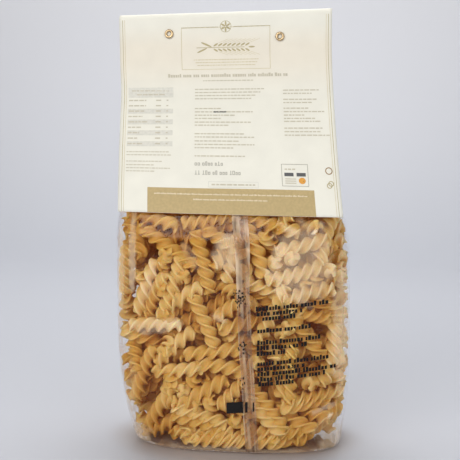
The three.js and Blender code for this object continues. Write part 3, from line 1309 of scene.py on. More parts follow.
    def foot_ring(self, rng: Draws) -> tuple[Array, Array]:
        """The middles and ways of the twists that lie round the edge of the foot.

        Args:
            rng: the source of the draws.

        Returns:
            The middles, and the ways as unit vectors.
        """
        ring = self.form.outline(self.ring_height, self.ring_points)
        middle = self.form.middle(np.array(self.ring_height))
        inset = ring - (middle, 0, 0)
        inset *= 1 - (self.end_reach + 1.0) / np.linalg.norm(inset[:, :2], axis=1)[:, None]
        first, step = self.ring_first, self.ring_step
        at = np.linspace(first, first + self.ring_points, self.foot_pieces, endpoint=False).astype(int)
        at %= self.ring_points
        way = np.roll(ring, -step, 0)[at] - np.roll(ring, step, 0)[at]
        way += rng.normal(0, self.ring_unrest, way.shape) * np.linalg.norm(way, axis=1)[:, None]
        centre = inset[at] + (middle, 0, 0)
        centre[:, 2] = rng.uniform(*self.ring_heights, self.foot_pieces)
        return centre, way / np.linalg.norm(way, axis=1)[:, None]

    def top_up(self, low: Array, high: Array, half: Array, rng: Draws) -> tuple[Array, Array, Array]:
        """Adds twists in the widest gaps that show through the film.

        Args:
            low: one end of each twist's core.
            high: the other end.
            half: half the length of each core.
            rng: the source of the draws.

        Returns:
            The two ends and half lengths, with those of the added twists.
        """
        spots = rng.uniform(self.gap_low, self.gap_high, (self.gap_spots, 3))
        x, y, z = spots.T
        reach = self.form.side(z, y / self.form.belly_half_depth) - np.abs(x - self.form.middle(z))
        under = np.minimum(self.form.half_depth(z) - np.abs(y), reach)
        shallowest, deepest = self.gap_depth
        spots = spots[(under > shallowest) & (under < deepest)]
        for _ in range(self.late_pieces):
            run = high - low
            share = np.einsum("ijk,jk->ij", spots[:, None] - low[None], run) / (run * run).sum(1)
            nearest = low[None] + np.clip(share, 0, 1)[..., None] * run[None]
            clear = np.linalg.norm(spots[:, None] - nearest, axis=2).min(1)
            spot = spots[np.argmax(clear)]
            way = rng.normal(size=3) * self.gap_way
            size = self.shape.shortest / 2 - self.contact_radius
            way *= size / np.linalg.norm(way)
            low, high = np.vstack([low, spot - way]), np.vstack([high, spot + way])
            half = np.vstack([half, [[size]]])
        return low, high, half

    def move_in(self, low: Array, high: Array, margin: float) -> tuple[Array, Array]:
        """Moves whole twists inwards by what their ends stand too far out."""
        inward = (self.confine(low, margin) - low) + (self.confine(high, margin) - high)
        return low + inward, high + inward

    def build(self) -> None:
        """Builds the twists, one piece for each shade of pasta."""
        rng = np.random.default_rng(self.seed)
        low, high = self.settle(rng)
        kinds = self.shape.draw(rng)
        kind = self.shape.kind(np.linalg.norm(high - low, axis=1) + 2 * self.contact_radius)
        shade = rng.integers(0, self.shades, len(low))
        # How much paler the listed twists are painted, as a painted sheen.
        pale = np.zeros(len(low))
        pale[: len(LAID)] = [twist.pale for twist in LAID]
        spin = rng.uniform(0, 2 * math.pi, len(low))
        log.info("pasta reaches %.1f mm", max(low[:, 2].max(), high[:, 2].max()))
        light = PastaLight(self.form)
        for group, finish in enumerate(self.finishes()):
            points, faces, ridges, pales, count = [], [], [], [], 0
            for item in np.nonzero(shade == group)[0]:
                own, triangles, ridge = kinds[kind[item]]
                turned = own @ self.turn_to(high[item] - low[item], spin[item]).T
                points.append(self.inside(turned + (low[item] + high[item]) / 2))
                faces.append(triangles + count)
                ridges.append(ridge)
                pales.append(np.full(len(own), pale[item]))
                count += len(own)
            name = f"pasta_{group + 1}"
            mesh = bpy.data.meshes.new(name)
            vertices, triangles = np.concatenate(points), np.concatenate(faces)
            mesh.from_pydata(vertices * MM, [], triangles)
            write_values(mesh, LIT, light.at(vertices, np.concatenate(ridges), np.concatenate(pales)))
            self.trees.append((vertices, triangles))
            piece = stand_piece(name, mesh, finish.material())
            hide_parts("bag")

    def inside(self, points: Array) -> Array:
        """Shifts one twist so that none of its points stands out of the film.

        Args:
            points: the twist's points.

        Returns:
            The shifted points.
        """
        for _ in range(3):
            inward = self.confine(points, self.film_gap) - points
            points = points + inward.max(0) + inward.min(0)
        return points

    def turn_to(self, way: Array, spin: float) -> Array:
        """The rotation that takes Z to way, after a turn about Z."""
        aim = Vector(way).to_track_quat("Z", "Y").to_matrix()
        return np.array(aim @ Matrix.Rotation(spin, 3, "Z"))

    def finishes(self) -> list[PastaFinish]:
        """The pasta's shades, from golden to pale.

        Returns:
            One finish for each shade.
        """
        return [
            PastaFinish("pasta_gold", (0.69, 0.40, 0.080), (0.76, 0.51, 0.17)),
            PastaFinish("pasta_amber", (0.70, 0.42, 0.095), (0.77, 0.53, 0.19)),
            PastaFinish("pasta_honey", (0.72, 0.44, 0.110), (0.79, 0.56, 0.22)),
            PastaFinish("pasta_straw", (0.74, 0.47, 0.130), (0.82, 0.59, 0.25)),
            PastaFinish("pasta_pale", (0.77, 0.52, 0.165), (0.85, 0.64, 0.30)),
        ]

    def tree(self) -> BVHTree:
        """All the twists as one search tree, in millimetres.

        Returns:
            The search tree.
        """
        points, faces, count = [], [], 0
        for own, triangles in self.trees:
            points.append(own)
            faces.append(triangles + count)
            count += len(own)
        return BVHTree.FromPolygons(np.concatenate(points).tolist(), np.concatenate(faces).tolist())


@dataclass
class FilmBag:
    """The clear film: it lies on the twists, sags between them and folds in at the sides."""

    form: BagForm
    around: int = 320
    foot_rows: int = 10
    wall_rows: int = 196
    deepest: float = 0.9
    most_out: float = 0.3
    reach_out: float = 2.5
    rest_gap: float = 0.25
    pull: float = 0.035
    rounds: int = 260
    smoothing: int = 3
    crease: float = 0.16
    edge_radius: float = 4.0
    foot_lift: float = 0.35
    foot_spread: float = 0.93
    drape_top: float = 190.0
    slack_start: tuple = (1.0, 9.0)
    slack_end: tuple = (150.0, 185.0)
    side_hold: float = 0.75
    side_zone: tuple = (0.8, 0.97)
    other_sheens: int = 12
    seed: int = 5
    shape: Array = field(default=None, repr=False)

    def base(self) -> Array:
        """The bag's form as rows of points, from the middle of its foot up to its closed top.

        Returns:
            The points by row and column.
        """
        rows = []
        outline = self.form.outline(0.0, self.around)
        for k in range(self.foot_rows):
            ring = outline.copy()
            ring[:, 1] *= k / self.foot_rows * self.foot_spread
            ring[:, 2] = self.foot_lift
            rows.append(ring)
        middle = float(self.form.middle(np.array(0.0)))
        for z in np.linspace(0, self.form.closure_top, self.wall_rows):
            ring = self.form.outline(float(z), self.around)
            tuck = self.edge_radius * max(1 - z / self.edge_radius, 0) ** 2
            ring[:, 0] = middle + (ring[:, 0] - middle) * (1 - tuck / self.form.foot_half_width)
            ring[:, 1] *= 1 - tuck / self.form.foot_half_depth
            ring[:, 2] = np.maximum(ring[:, 2], self.foot_lift)
            rows.append(ring)
        return np.array(rows)

    def drape(self, base: Array, tree: BVHTree) -> Array:
        """Lays the film on the twists.

        Args:
            base: the bag's form as rows of points.
            tree: the twists.

        Returns:
            The film's points.
        """
        around = np.roll(base, -1, 1) - np.roll(base, 1, 1)
        up = np.gradient(base, axis=0)
        normal = np.cross(around, up)
        normal /= np.maximum(np.linalg.norm(normal, axis=2), 1e-9)[..., None]
        clear = np.full(base.shape[:2], self.deepest)
        for row in range(self.foot_rows, base.shape[0]):
            if base[row, 0, 2] > self.drape_top:
                break
            for column in range(self.around):
                out = Vector(normal[row, column])
                start = Vector(base[row, column]) + out * self.reach_out
                distance = tree.ray_cast(start, -out, self.reach_out + self.deepest)[3]
                if distance is not None:
                    clear[row, column] = max(distance - self.reach_out - self.rest_gap, -self.most_out)
        height = base[..., 2]
        slack = smoothstep(height, *self.slack_start) * (1 - smoothstep(height, *self.slack_end))
        sag = np.zeros(base.shape[:2])
        for _ in range(self.rounds):
            mean = (np.roll(sag, 1, 1) + np.roll(sag, -1, 1) + np.roll(sag, 1, 0) + np.roll(sag, -1, 0)) / 4
            sag = np.minimum(mean + self.pull * slack, clear)
            sag[: self.foot_rows] = 0
            sag[-1] = 0
        side = np.abs(base[..., 0] - self.form.middle(height)) / self.form.half_width(height)
        held = 1 - self.side_hold * smoothstep(side, *self.side_zone)
        sag = np.minimum(sag, np.maximum(self.deepest * slack * held, 0))
        for _ in range(self.smoothing):
            near = np.roll(sag, 1, 1) + np.roll(sag, -1, 1)
            sag[1:-1] = (sag[1:-1] * 2 + near[1:-1] + sag[:-2] + sag[2:]) / 6
        return base - normal * (sag - self.creases(base.shape[:2], slack))[..., None]

    def creases(self, shape: tuple[int, int], slack: Array) -> Array:
        """Fine creases of the film, mostly upright, as heights.

        Args:
            shape: the film's rows and columns.
            slack: how loose it is at each point.

        Returns:
            A height for each point.
        """
        rng = np.random.default_rng(self.seed)
        long = 1 - np.abs(soft_noise(shape, (7, 90), rng)) * 2
        cross = 1 - np.abs(soft_noise(shape, (26, 44), rng)) * 2
        strength = 0.5 + 0.5 * soft_noise(shape, (8, 12), rng)
        return self.crease * strength * (0.6 * long + 0.5 * cross) * np.clip(slack, 0, 1)

    def build(self, contents: PastaFill) -> None:
        """Builds the film round its contents.

        Args:
            contents: the settled twists.
        """
        self.shape = self.drape(self.base(), contents.tree())
        rows, columns = self.shape.shape[:2]

        def place(across: Array, up: Array) -> Array:
            column = np.round(across * columns).astype(int) % columns
            return self.shape[np.round(up * (rows - 1)).astype(int), column]

        mesh = merged(sheet_mesh("film", columns, rows - 1, place))
        self.veil_and_sheen(mesh)
        finish = FilmFinish("film_clear", veil_and_sheen=0.0, veil_patches=0.009, gloss=0.36, roughness=0.05)
        piece = stand_piece("film", mesh, finish.material())
        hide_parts("bag")

    def sheens(self) -> list[Sheen]:
        """The film's painted sheens: placed ones on the shown face, for reflections, glints and fold
        highlights of the lights and for light over the shaded foot, and drawn ones on the other, random milky
        patches.

        Returns:
            The patches.
        """
        rng = np.random.default_rng(self.seed + 1)
        # Painted reflections of the soft boxes, two glints, highlights down the folded sides, and light
        # painted over the shaded foot and its corners.
        shown = [
            Sheen(40, 107, 17, 22, 4, 0.26),
            Sheen(0, 113, 8.0, 11, 0, 0.30),
            Sheen(-42, 71, 15, 4.5, 8, 0.24),
            Sheen(-45, 93, 13, 3.5, 68, 0.14),
            Sheen(47.5, 124.5, 2.2, 1.0, 40, 0.9),
            Sheen(57, 22, 1.6, 0.9, 20, 0.9),
            Sheen(-62, 100, 2.6, 26, -1, 0.30),
            Sheen(-5, 76.5, 4, 1.6, -32, 0.34),
            Sheen(55, 27, 8, 1.6, 18, 0.30),
            Sheen(63, 72, 5, 36, 0, 0.26),
            Sheen(-54, 112, 2.3, 26, -1, 0.36),
            Sheen(52.4, 112, 2.4, 22, 3, 0.22),
            Sheen(-57, 28, 4, 22, -8, 0.10),
            Sheen(57, 14, 9, 9, 0, 0.10),
            Sheen(-21, 112, 3, 9, 30, 0.12),
            Sheen(-52, 6, 9, 7, 28, 0.30),
            Sheen(60, 7, 8, 8, -24, 0.30),
            Sheen(3, 1.5, 58, 2.6, 0, 0.32),
        ]
        other = [
            Sheen(rng.uniform(-55, 55), rng.uniform(15, 150), rng.uniform(3, 14), rng.uniform(3, 16),
                  rng.uniform(-30, 30), rng.uniform(0.08, 0.24), Face.OTHER)
            for _ in range(self.other_sheens)
        ]
        return shown + other

    def veil_and_sheen(self, mesh: bpy.types.Mesh) -> None:
        """Marks how milky the painted sheens make the film at each of its vertices."""
        points = corners(mesh) / MM
        write_values(mesh, VEIL_AND_SHEEN, np.max([sheen.at(points) for sheen in self.sheens()], axis=0))

    def tree(self) -> BVHTree:
        """The film as a search tree, in millimetres.

        Returns:
            The search tree.
        """
        rows, columns = self.shape.shape[:2]
        index = np.arange(rows * columns).reshape(rows, columns)
        right = np.roll(index, -1, 1)
        quads = np.stack([index[:-1], right[:-1], right[1:], index[1:]], -1).reshape(-1, 4)
        return BVHTree.FromPolygons(self.shape.reshape(-1, 3).tolist(), quads.tolist())


@dataclass
class Printing:
    """Small flat shapes in one ink, drawn on a plane and then laid on a surface."""

    ink: Ink
    cell: float = 3.5
    bm: bmesh.types.BMesh = field(default_factory=bmesh.new)

    def placed(self, x: float, y: float, wide: float, tall: float, tilt: float) -> Matrix:
        """The matrix that puts a unit shape at x and y with the given half sizes and tilt."""
        turned = Matrix.Translation((x, y, 0)) @ Matrix.Rotation(math.radians(tilt), 4, "Z")
        return turned @ Matrix.Diagonal((wide, tall, 1, 1))

    def bar(self, left: float, low: float, right: float, high: float, tilt: float = 0.0) -> None:
        """A rectangle, turned about its middle by tilt in degrees.

        Args:
            left: the left side.
            low: the low side.
            right: the right side.
            high: the high side.
            tilt: its turn in degrees.
        """
        wide, tall = right - left, high - low
        place = self.placed((left + right) / 2, (low + high) / 2, wide / 2, tall / 2, tilt)
        across, up = max(1, math.ceil(wide / self.cell)), max(1, math.ceil(tall / self.cell))
        bmesh.ops.create_grid(self.bm, x_segments=across, y_segments=up, size=1.0, matrix=place)

    def spot(self, x: float, y: float, wide: float, tall: float, tilt: float = 0.0) -> None:
        """An ellipse of the given half sizes."""
        place = self.placed(x, y, wide, tall, tilt)
        bmesh.ops.create_circle(self.bm, cap_ends=True, segments=20, radius=1.0, matrix=place)

    def ring(self, x: float, y: float, radius: float, line: float) -> None:
        """A ring of the given outer radius and line width.

        Args:
            x: its middle along the drawing's first axis.
            y: and along its second.
            radius: its outer radius.
            line: its line width.
        """
        place = Matrix.Translation((x, y, 0))
        made = bmesh.ops.create_circle(self.bm, cap_ends=True, segments=28, radius=radius, matrix=place)
        face = made["verts"][0].link_faces[0]
        bmesh.ops.inset_individual(self.bm, faces=[face], thickness=line)
        bmesh.ops.delete(self.bm, geom=[face], context="FACES_ONLY")

    def frame(self, left: float, low: float, right: float, high: float, line: float) -> None:
        """The four sides of a box.

        Args:
            left: the left side.
            low: the low side.
            right: the right side.
            high: the high side.
            line: its line width.
        """
        self.bar(left, low, right, low + line)
        self.bar(left, high - line, right, high)
        self.bar(left, low + line, left + line, high - line)
        self.bar(right - line, low + line, right, high - line)

    def words(self, left: float, base: float, right: float, tall: float, rng: Draws) -> None:
        """A row of short bars, as long and short words would stand.

        Args:
            left: where the row starts.
            base: its foot.
            right: where it ends.
            tall: the height of its marks.
            rng: the source of the draws.
        """
        x = left
        while x < right - tall * 0.6:
            wide = min(rng.uniform(1.6, 5.2) * tall, right - x)
            self.bar(x, base, x + wide, base + tall)
            x += wide + tall * 0.75

    def grouped(self, left: float, right: float, tall: float, group: tuple[int, int], gap: float,
                rng: Draws, draw: Callable[[float], float]) -> None:
        """Marks in groups from left to right.

        Args:
            left: where the first mark starts.
            right: where no further mark starts.
            tall: the marks' height.
            group: the least number of marks in a group, and one more than the most.
            gap: the further gap after a group, as a share of the height.
            rng: the source of the draws.
            draw: draws the mark that starts at a place, and gives its width.
        """
        x, left_in_group = left, int(rng.integers(*group))
        while x < right:
            x += draw(x) + tall * 0.2
            left_in_group -= 1
            if left_in_group == 0:
                x += tall * gap
                left_in_group = int(rng.integers(*group))

    def letters(self, left: float, base: float, right: float, tall: float, rng: Draws) -> None:
        """A row of small blocks of uneven height in groups, as set type would stand.

        Args:
            left: where the row starts.
            base: its foot.
            right: where it ends.
            tall: the height of its marks.
            rng: the source of the draws.
        """
        def block(x: float) -> float:
            wide = tall * rng.uniform(0.5, 0.85)
            rise = tall * (1.35 if rng.random() < 0.25 else 1.0)
            self.bar(x, base, x + wide, base + rise)
            return wide

        self.grouped(left, right, tall, (3, 10), 0.6, rng, block)

    def outlines(self, left: float, base: float, right: float, tall: float, rng: Draws) -> None:
        """A row of thin open boxes and strokes in groups, as light figures would stand.

        Args:
            left: where the row starts.
            base: its foot.
            right: where it ends.
            tall: the height of its marks.
            rng: the source of the draws.
        """
        line = tall * 0.15

        def figure(x: float) -> float:
            wide = tall * rng.uniform(0.42, 0.6)
            if rng.random() < 0.6:
                self.frame(x, base, x + wide, base + tall * rng.choice((0.7, 1.0)), line)
            else:
                self.bar(x + wide * 0.4, base, x + wide * 0.4 + line, base + tall)
                self.bar(x, base, x + wide, base + line)
            return wide

        self.grouped(left, right, tall, (2, 5), 0.4, rng, figure)

    def lay(self, name: str, place: Placing, slot: str, shine: float = 0.5) -> None:
        """Lays the drawn shapes, if there are any, on a surface and makes them a piece.

        Args:
            name: the piece's name.
            place: gives points in millimetres for the drawing's two coordinates.
            slot: not used.
            shine: how strongly the ink reflects.
        """
        if not self.bm.verts:
            return
        mesh = bpy.data.meshes.new(name)
        self.bm.to_mesh(mesh)
        self.bm.free()
        drawn = corners(mesh)
        put_corners(mesh, place(drawn[:, 0], drawn[:, 1]))
        stand_piece(name, mesh, InkFinish(self.ink, shine=shine).material(), smooth=False)


@dataclass
class CardHeader:
    """The folded card header and all that is printed on it."""

    form: CardForm
    across: int = 64
    lengthwise: int = 150
    ink_lift: float = 0.05
    edge_lines: tuple = ((Ink.OLIVE, 2.0, 0.3), (Ink.GOLD, 3.25, 0.22))
    edge_top: float = 3.4
    seed: int = 3

    def build(self) -> None:
        """Builds the card and its printing on both faces."""
        self.card()
        for face in Face:
            sheets = {ink: Printing(ink) for ink in Ink}
            rng = np.random.default_rng(self.seed)
            self.line_edges(sheets)
            if face is Face.SHOWN:
                self.shown_face(sheets, rng)
            else:
                self.other_face(sheets, rng)
            for ink, sheet in sheets.items():
                name = f"card_{face.name.lower()}_{ink.name.lower()}"
                lift = self.ink_lift * (1 if ink in (Ink.MIST, Ink.TAN) else 2)
                sheet.lay(name, lambda u, z, face=face, lift=lift: self.on_card(u, z, face, lift), "card")

    def card(self) -> None:
        """The card itself, one folded sheet with its thickness."""
        length = self.form.line()[0][-1]

        def place(across: Array, along: Array) -> Array:
            share = across * 2 - 1
            return self.form.place(share, along * length, self.form.warp(share, along))

        mesh = sheet_mesh("card", self.across, self.lengthwise, place)
        piece = stand_piece("card", mesh, CardFinish("card_cream", (0.87, 0.845, 0.74)).material())
        shell = piece.modifiers.new("thickness", "SOLIDIFY")
        shell.thickness = self.form.thickness * MM
        shell.offset = 0
        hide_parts("header_card")

    def on_card(self, across: Array, height: Array, face: Face, lift: float) -> Array:
        """Points at a lift over the card's face, for distances from its middle and heights.

        Args:
            across: distances from the card's middle.
            height: heights.
            face: the face.
            lift: how far over the card.

        Returns:
            The points.
        """
        share = across / self.form.half_width * (1 if face is Face.SHOWN else -1)
        along = self.form.along(height, face)
        wave = self.form.warp(share, along / self.form.line()[0][-1])
        return self.form.place(share, along, self.form.thickness / 2 + lift + wave)

    def line_edges(self, sheets: dict[Ink, Printing]) -> None:
        """The two thin lines down each side of the card.

        Args:
            sheets: the face's drawings, one for each ink.
        """
        top = self.form.top - self.edge_top
        for side in (-1, 1):
            for ink, inset, line in self.edge_lines:
                middle = side * (self.form.half_width - inset)
                sheets[ink].bar(middle - line / 2, self.form.foot, middle + line / 2, top)

    def shown_face(self, sheets: dict[Ink, Printing], rng: Draws) -> None:
        """The closely printed face: frame, table, columns of fine print and a tan band.

        Args:
            sheets: the face's drawings, one for each ink.
            rng: the source of the draws.
        """
        stone = sheets[Ink.STONE]
        for left, right in ((-25.2, -3.6), (5.4, 26.7)):
            sheets[Ink.OLIVE].bar(left, 241.0, right, 241.35)
        sheets[Ink.GOLD].frame(-25.2, 217.0, 26.7, 241.2, 0.26)
        self.rosette(sheets, 0.9, 241.4)
        self.emblem(sheets, 1.6, 229.6, 1.15)
        for k in range(3):
            sheets[Ink.GOLD].words(-18 + k, 222.4 - 1.6 * k, 20 - k, 0.4, rng)
        stone.letters(-33.6, 212.6, 36.2, 1.5, rng)
        stone.words(-13, 210.2, 16.3, 0.55, rng)
        self.table(sheets, rng)
        columns = [
            (-18.0, 23.0, [205.1, 203.2, 201.3, 199.4], [1, 0.93, 0.86, 0.8]),
            (-18.0, 15.5, [193.5, 191.5, 189.5, 187.6], [0.45, 1, 0.7, 0.45]),
            (-18.0, 14.5, [185.4, 183.6], [1, 0.6]),
            (-18.0, 16.0, [178.6, 176.7, 174.4, 172.4, 170.5], [0.85, 1, 0.75, 1, 0.65]),
            (-18.0, 10.5, [165.8], [1]),
            (33.2, 53.7, [204.1, 202.2], [1, 0.8]),
            (33.2, 52.2, [198.7, 196.8], [1, 0.85]),
            (33.2, 56.7, [193.5, 191.5, 189.5, 187.6, 185.9], [0.6, 1, 0.5, 0.75, 0.9]),
            (33.2, 58.4, [182.0, 180.0, 178.0], [0.85, 0.8, 1]),
        ]
        for left, right, rows, shares in columns:
            for base, share in zip(rows, shares):
                stone.words(left, base, left + (right - left) * share, 0.62, rng)
        sheets[Ink.DARK].bar(-7.0, 191.4, 0.2, 192.2)
        sheets[Ink.GREY].outlines(-18.0, 160.7, -2.8, 2.3, rng)
        sheets[Ink.GREY].outlines(-18.0, 155.6, 7.6, 2.3, rng)
        sheets[Ink.MIST].frame(-10.4, 148.6, 17.4, 151.9, 0.25)
        stone.words(-8.6, 149.8, 15.6, 0.75, rng)
        self.small_box(sheets)
        sheets[Ink.BROWN].ring(56.4, 158.6, 2.0, 0.5)
        for k in range(2):
            sheets[Ink.OLIVE].ring(56.2 + 0.9 * k, 150.6 + 1.1 * k, 1.5, 0.45)
        sheets[Ink.TAN].bar(-45.0, self.form.foot, 47.6, 148.0)
        for left, right, base in ((-41, 43.5, 144.3), (-19, 21.5, 141.4)):
            sheets[Ink.PALE].letters(left, base, right, 0.62, rng)

    def table(self, sheets: dict[Ink, Printing], rng: Draws) -> None:
        """The small table at the left: a head, banded rows and three columns.

        Args:
            sheets: the face's drawings, one for each ink.
            rng: the source of the draws.
        """
        left, right, pitch = -57.6, -30.8, 3.24
        sheets[Ink.MIST].bar(left, 200.7, right, 206.8)
        for base, inset in ((204.5, 2.0), (202.1, 5.0)):
            sheets[Ink.STONE].words(left + inset, base, right - inset, 0.7, rng)
        for row in range(9):
            base = 198.6 - pitch * row
            if row % 2 == 0 and row > 0:
                sheets[Ink.MIST].bar(left, base - 1.15, right, base + 1.75)
            sheets[Ink.STONE].words(left + 0.4, base, left + rng.uniform(6, 13), 0.7, rng)
            sheets[Ink.STONE].bar(left + 16.6, base, left + 19.6, base + 0.7)
            sheets[Ink.STONE].bar(left + 22.8, base, left + 23.9, base + 0.7)
        small = ((168.0, 0.95), (166.2, 1.0), (162.5, 0.8), (160.4, 0.62), (158.6, 0.98), (156.8, 0.65))
        for base, share in small:
            sheets[Ink.STONE].words(left, base, left + 26 * share, 0.5, rng)

    def small_box(self, sheets: dict[Ink, Printing]) -> None:
        """The small outlined box with bars and a round spot.

        Args:
            sheets: the face's drawings, one for each ink.
        """
        sheets[Ink.GREY].frame(30.4, 149.9, 45.0, 162.1, 0.28)
        sheets[Ink.STONE].words(32.2, 158.9, 38.0, 0.7, np.random.default_rng(self.seed))
        for left in (31.9, 38.6):
            sheets[Ink.DARK].bar(left, 155.4, left + 5.0, 157.3)
        for k in range(3):
            sheets[Ink.STONE].bar(32.2, 151.4 + 1.15 * k, 38.2, 151.85 + 1.15 * k)
        sheets[Ink.ORANGE].spot(41.5, 153.0, 1.9, 1.75)
        for x, z in ((40.9, 153.5), (42.3, 152.6)):
            sheets[Ink.BROWN].spot(x, z, 0.42, 0.4)

    def rosette(self, sheets: dict[Ink, Printing], x: float, z: float) -> None:
        """A small rosette of petals.

        Args:
            sheets: the face's drawings, one for each ink.
            x: its middle across the card.
            z: its height.
        """
        for k in range(6):
            turn = math.radians(60 * k + 30)
            sheets[Ink.OLIVE].spot(x + 1.7 * math.cos(turn), z + 1.7 * math.sin(turn), 1.35, 0.5, 60 * k + 30)
        sheets[Ink.OLIVE].ring(x, z, 3.3, 0.28)

    def emblem(self, sheets: dict[Ink, Printing], x: float, z: float, size: float) -> None:
        """A lying ear of grain: a stalk, paired grains and fine whiskers.

        Args:
            sheets: the face's drawings, one for each ink.
            x: its middle across the card.
            z: its height.
            size: its size as a share of the usual one.
        """
        ink = sheets[Ink.OLIVE]
        ink.bar(x - 15.5 * size, z - 0.14 * size, x + 9 * size, z + 0.14 * size)
        for k in range(8):
            at = x - 7 * size + 2.3 * size * k
            tip = at + 5.2 * size
            for side in (-1, 1):
                ink.spot(at + 1.3 * size, z + side * 1.35 * size, 1.3 * size, 0.42 * size, side * 31)
                low = z + side * 3.1 * size
                sheets[Ink.GOLD].bar(tip - 2.6 * size, low, tip + 2.6 * size, low + 0.16, side * 20)
        ink.spot(x + 12.6 * size, z, 1.6 * size, 0.42 * size)
        ink.spot(x - 10.5 * size, z + 1.5 * size, 3.0 * size, 0.45 * size, -24)
        ink.spot(x - 12.7 * size, z - 1.4 * size, 2.8 * size, 0.42 * size, 24)

    def other_face(self, sheets: dict[Ink, Printing], rng: Draws) -> None:
        """The plainer face: a large framed ear of grain, two title rows and the tan band.

        Args:
            sheets: the face's drawings, one for each ink.
            rng: the source of the draws.
        """
        sheets[Ink.STONE].frame(-40, 178.0, 40, 236.0, 0.35)
        sheets[Ink.STONE].frame(-38.6, 179.4, 38.6, 234.6, 0.2)
        self.emblem(sheets, 0.0, 212.0, 1.9)
        sheets[Ink.OLIVE].letters(-24, 193.5, 24, 3.2, rng)
        sheets[Ink.STONE].letters(-30, 186.8, 30, 1.9, rng)
        sheets[Ink.STONE].words(-26, 182.6, 26, 0.8, rng)
        sheets[Ink.GREY].letters(-34, 164.0, 34, 2.6, rng)
        sheets[Ink.STONE].words(-28, 158.4, 28, 0.9, rng)
        sheets[Ink.STONE].words(-22, 155.6, 22, 0.9, rng)
        sheets[Ink.TAN].bar(-46.4, self.form.foot, 46.6, 148.0)
        sheets[Ink.PALE].words(-36, 141.0, 36, 0.9, rng)


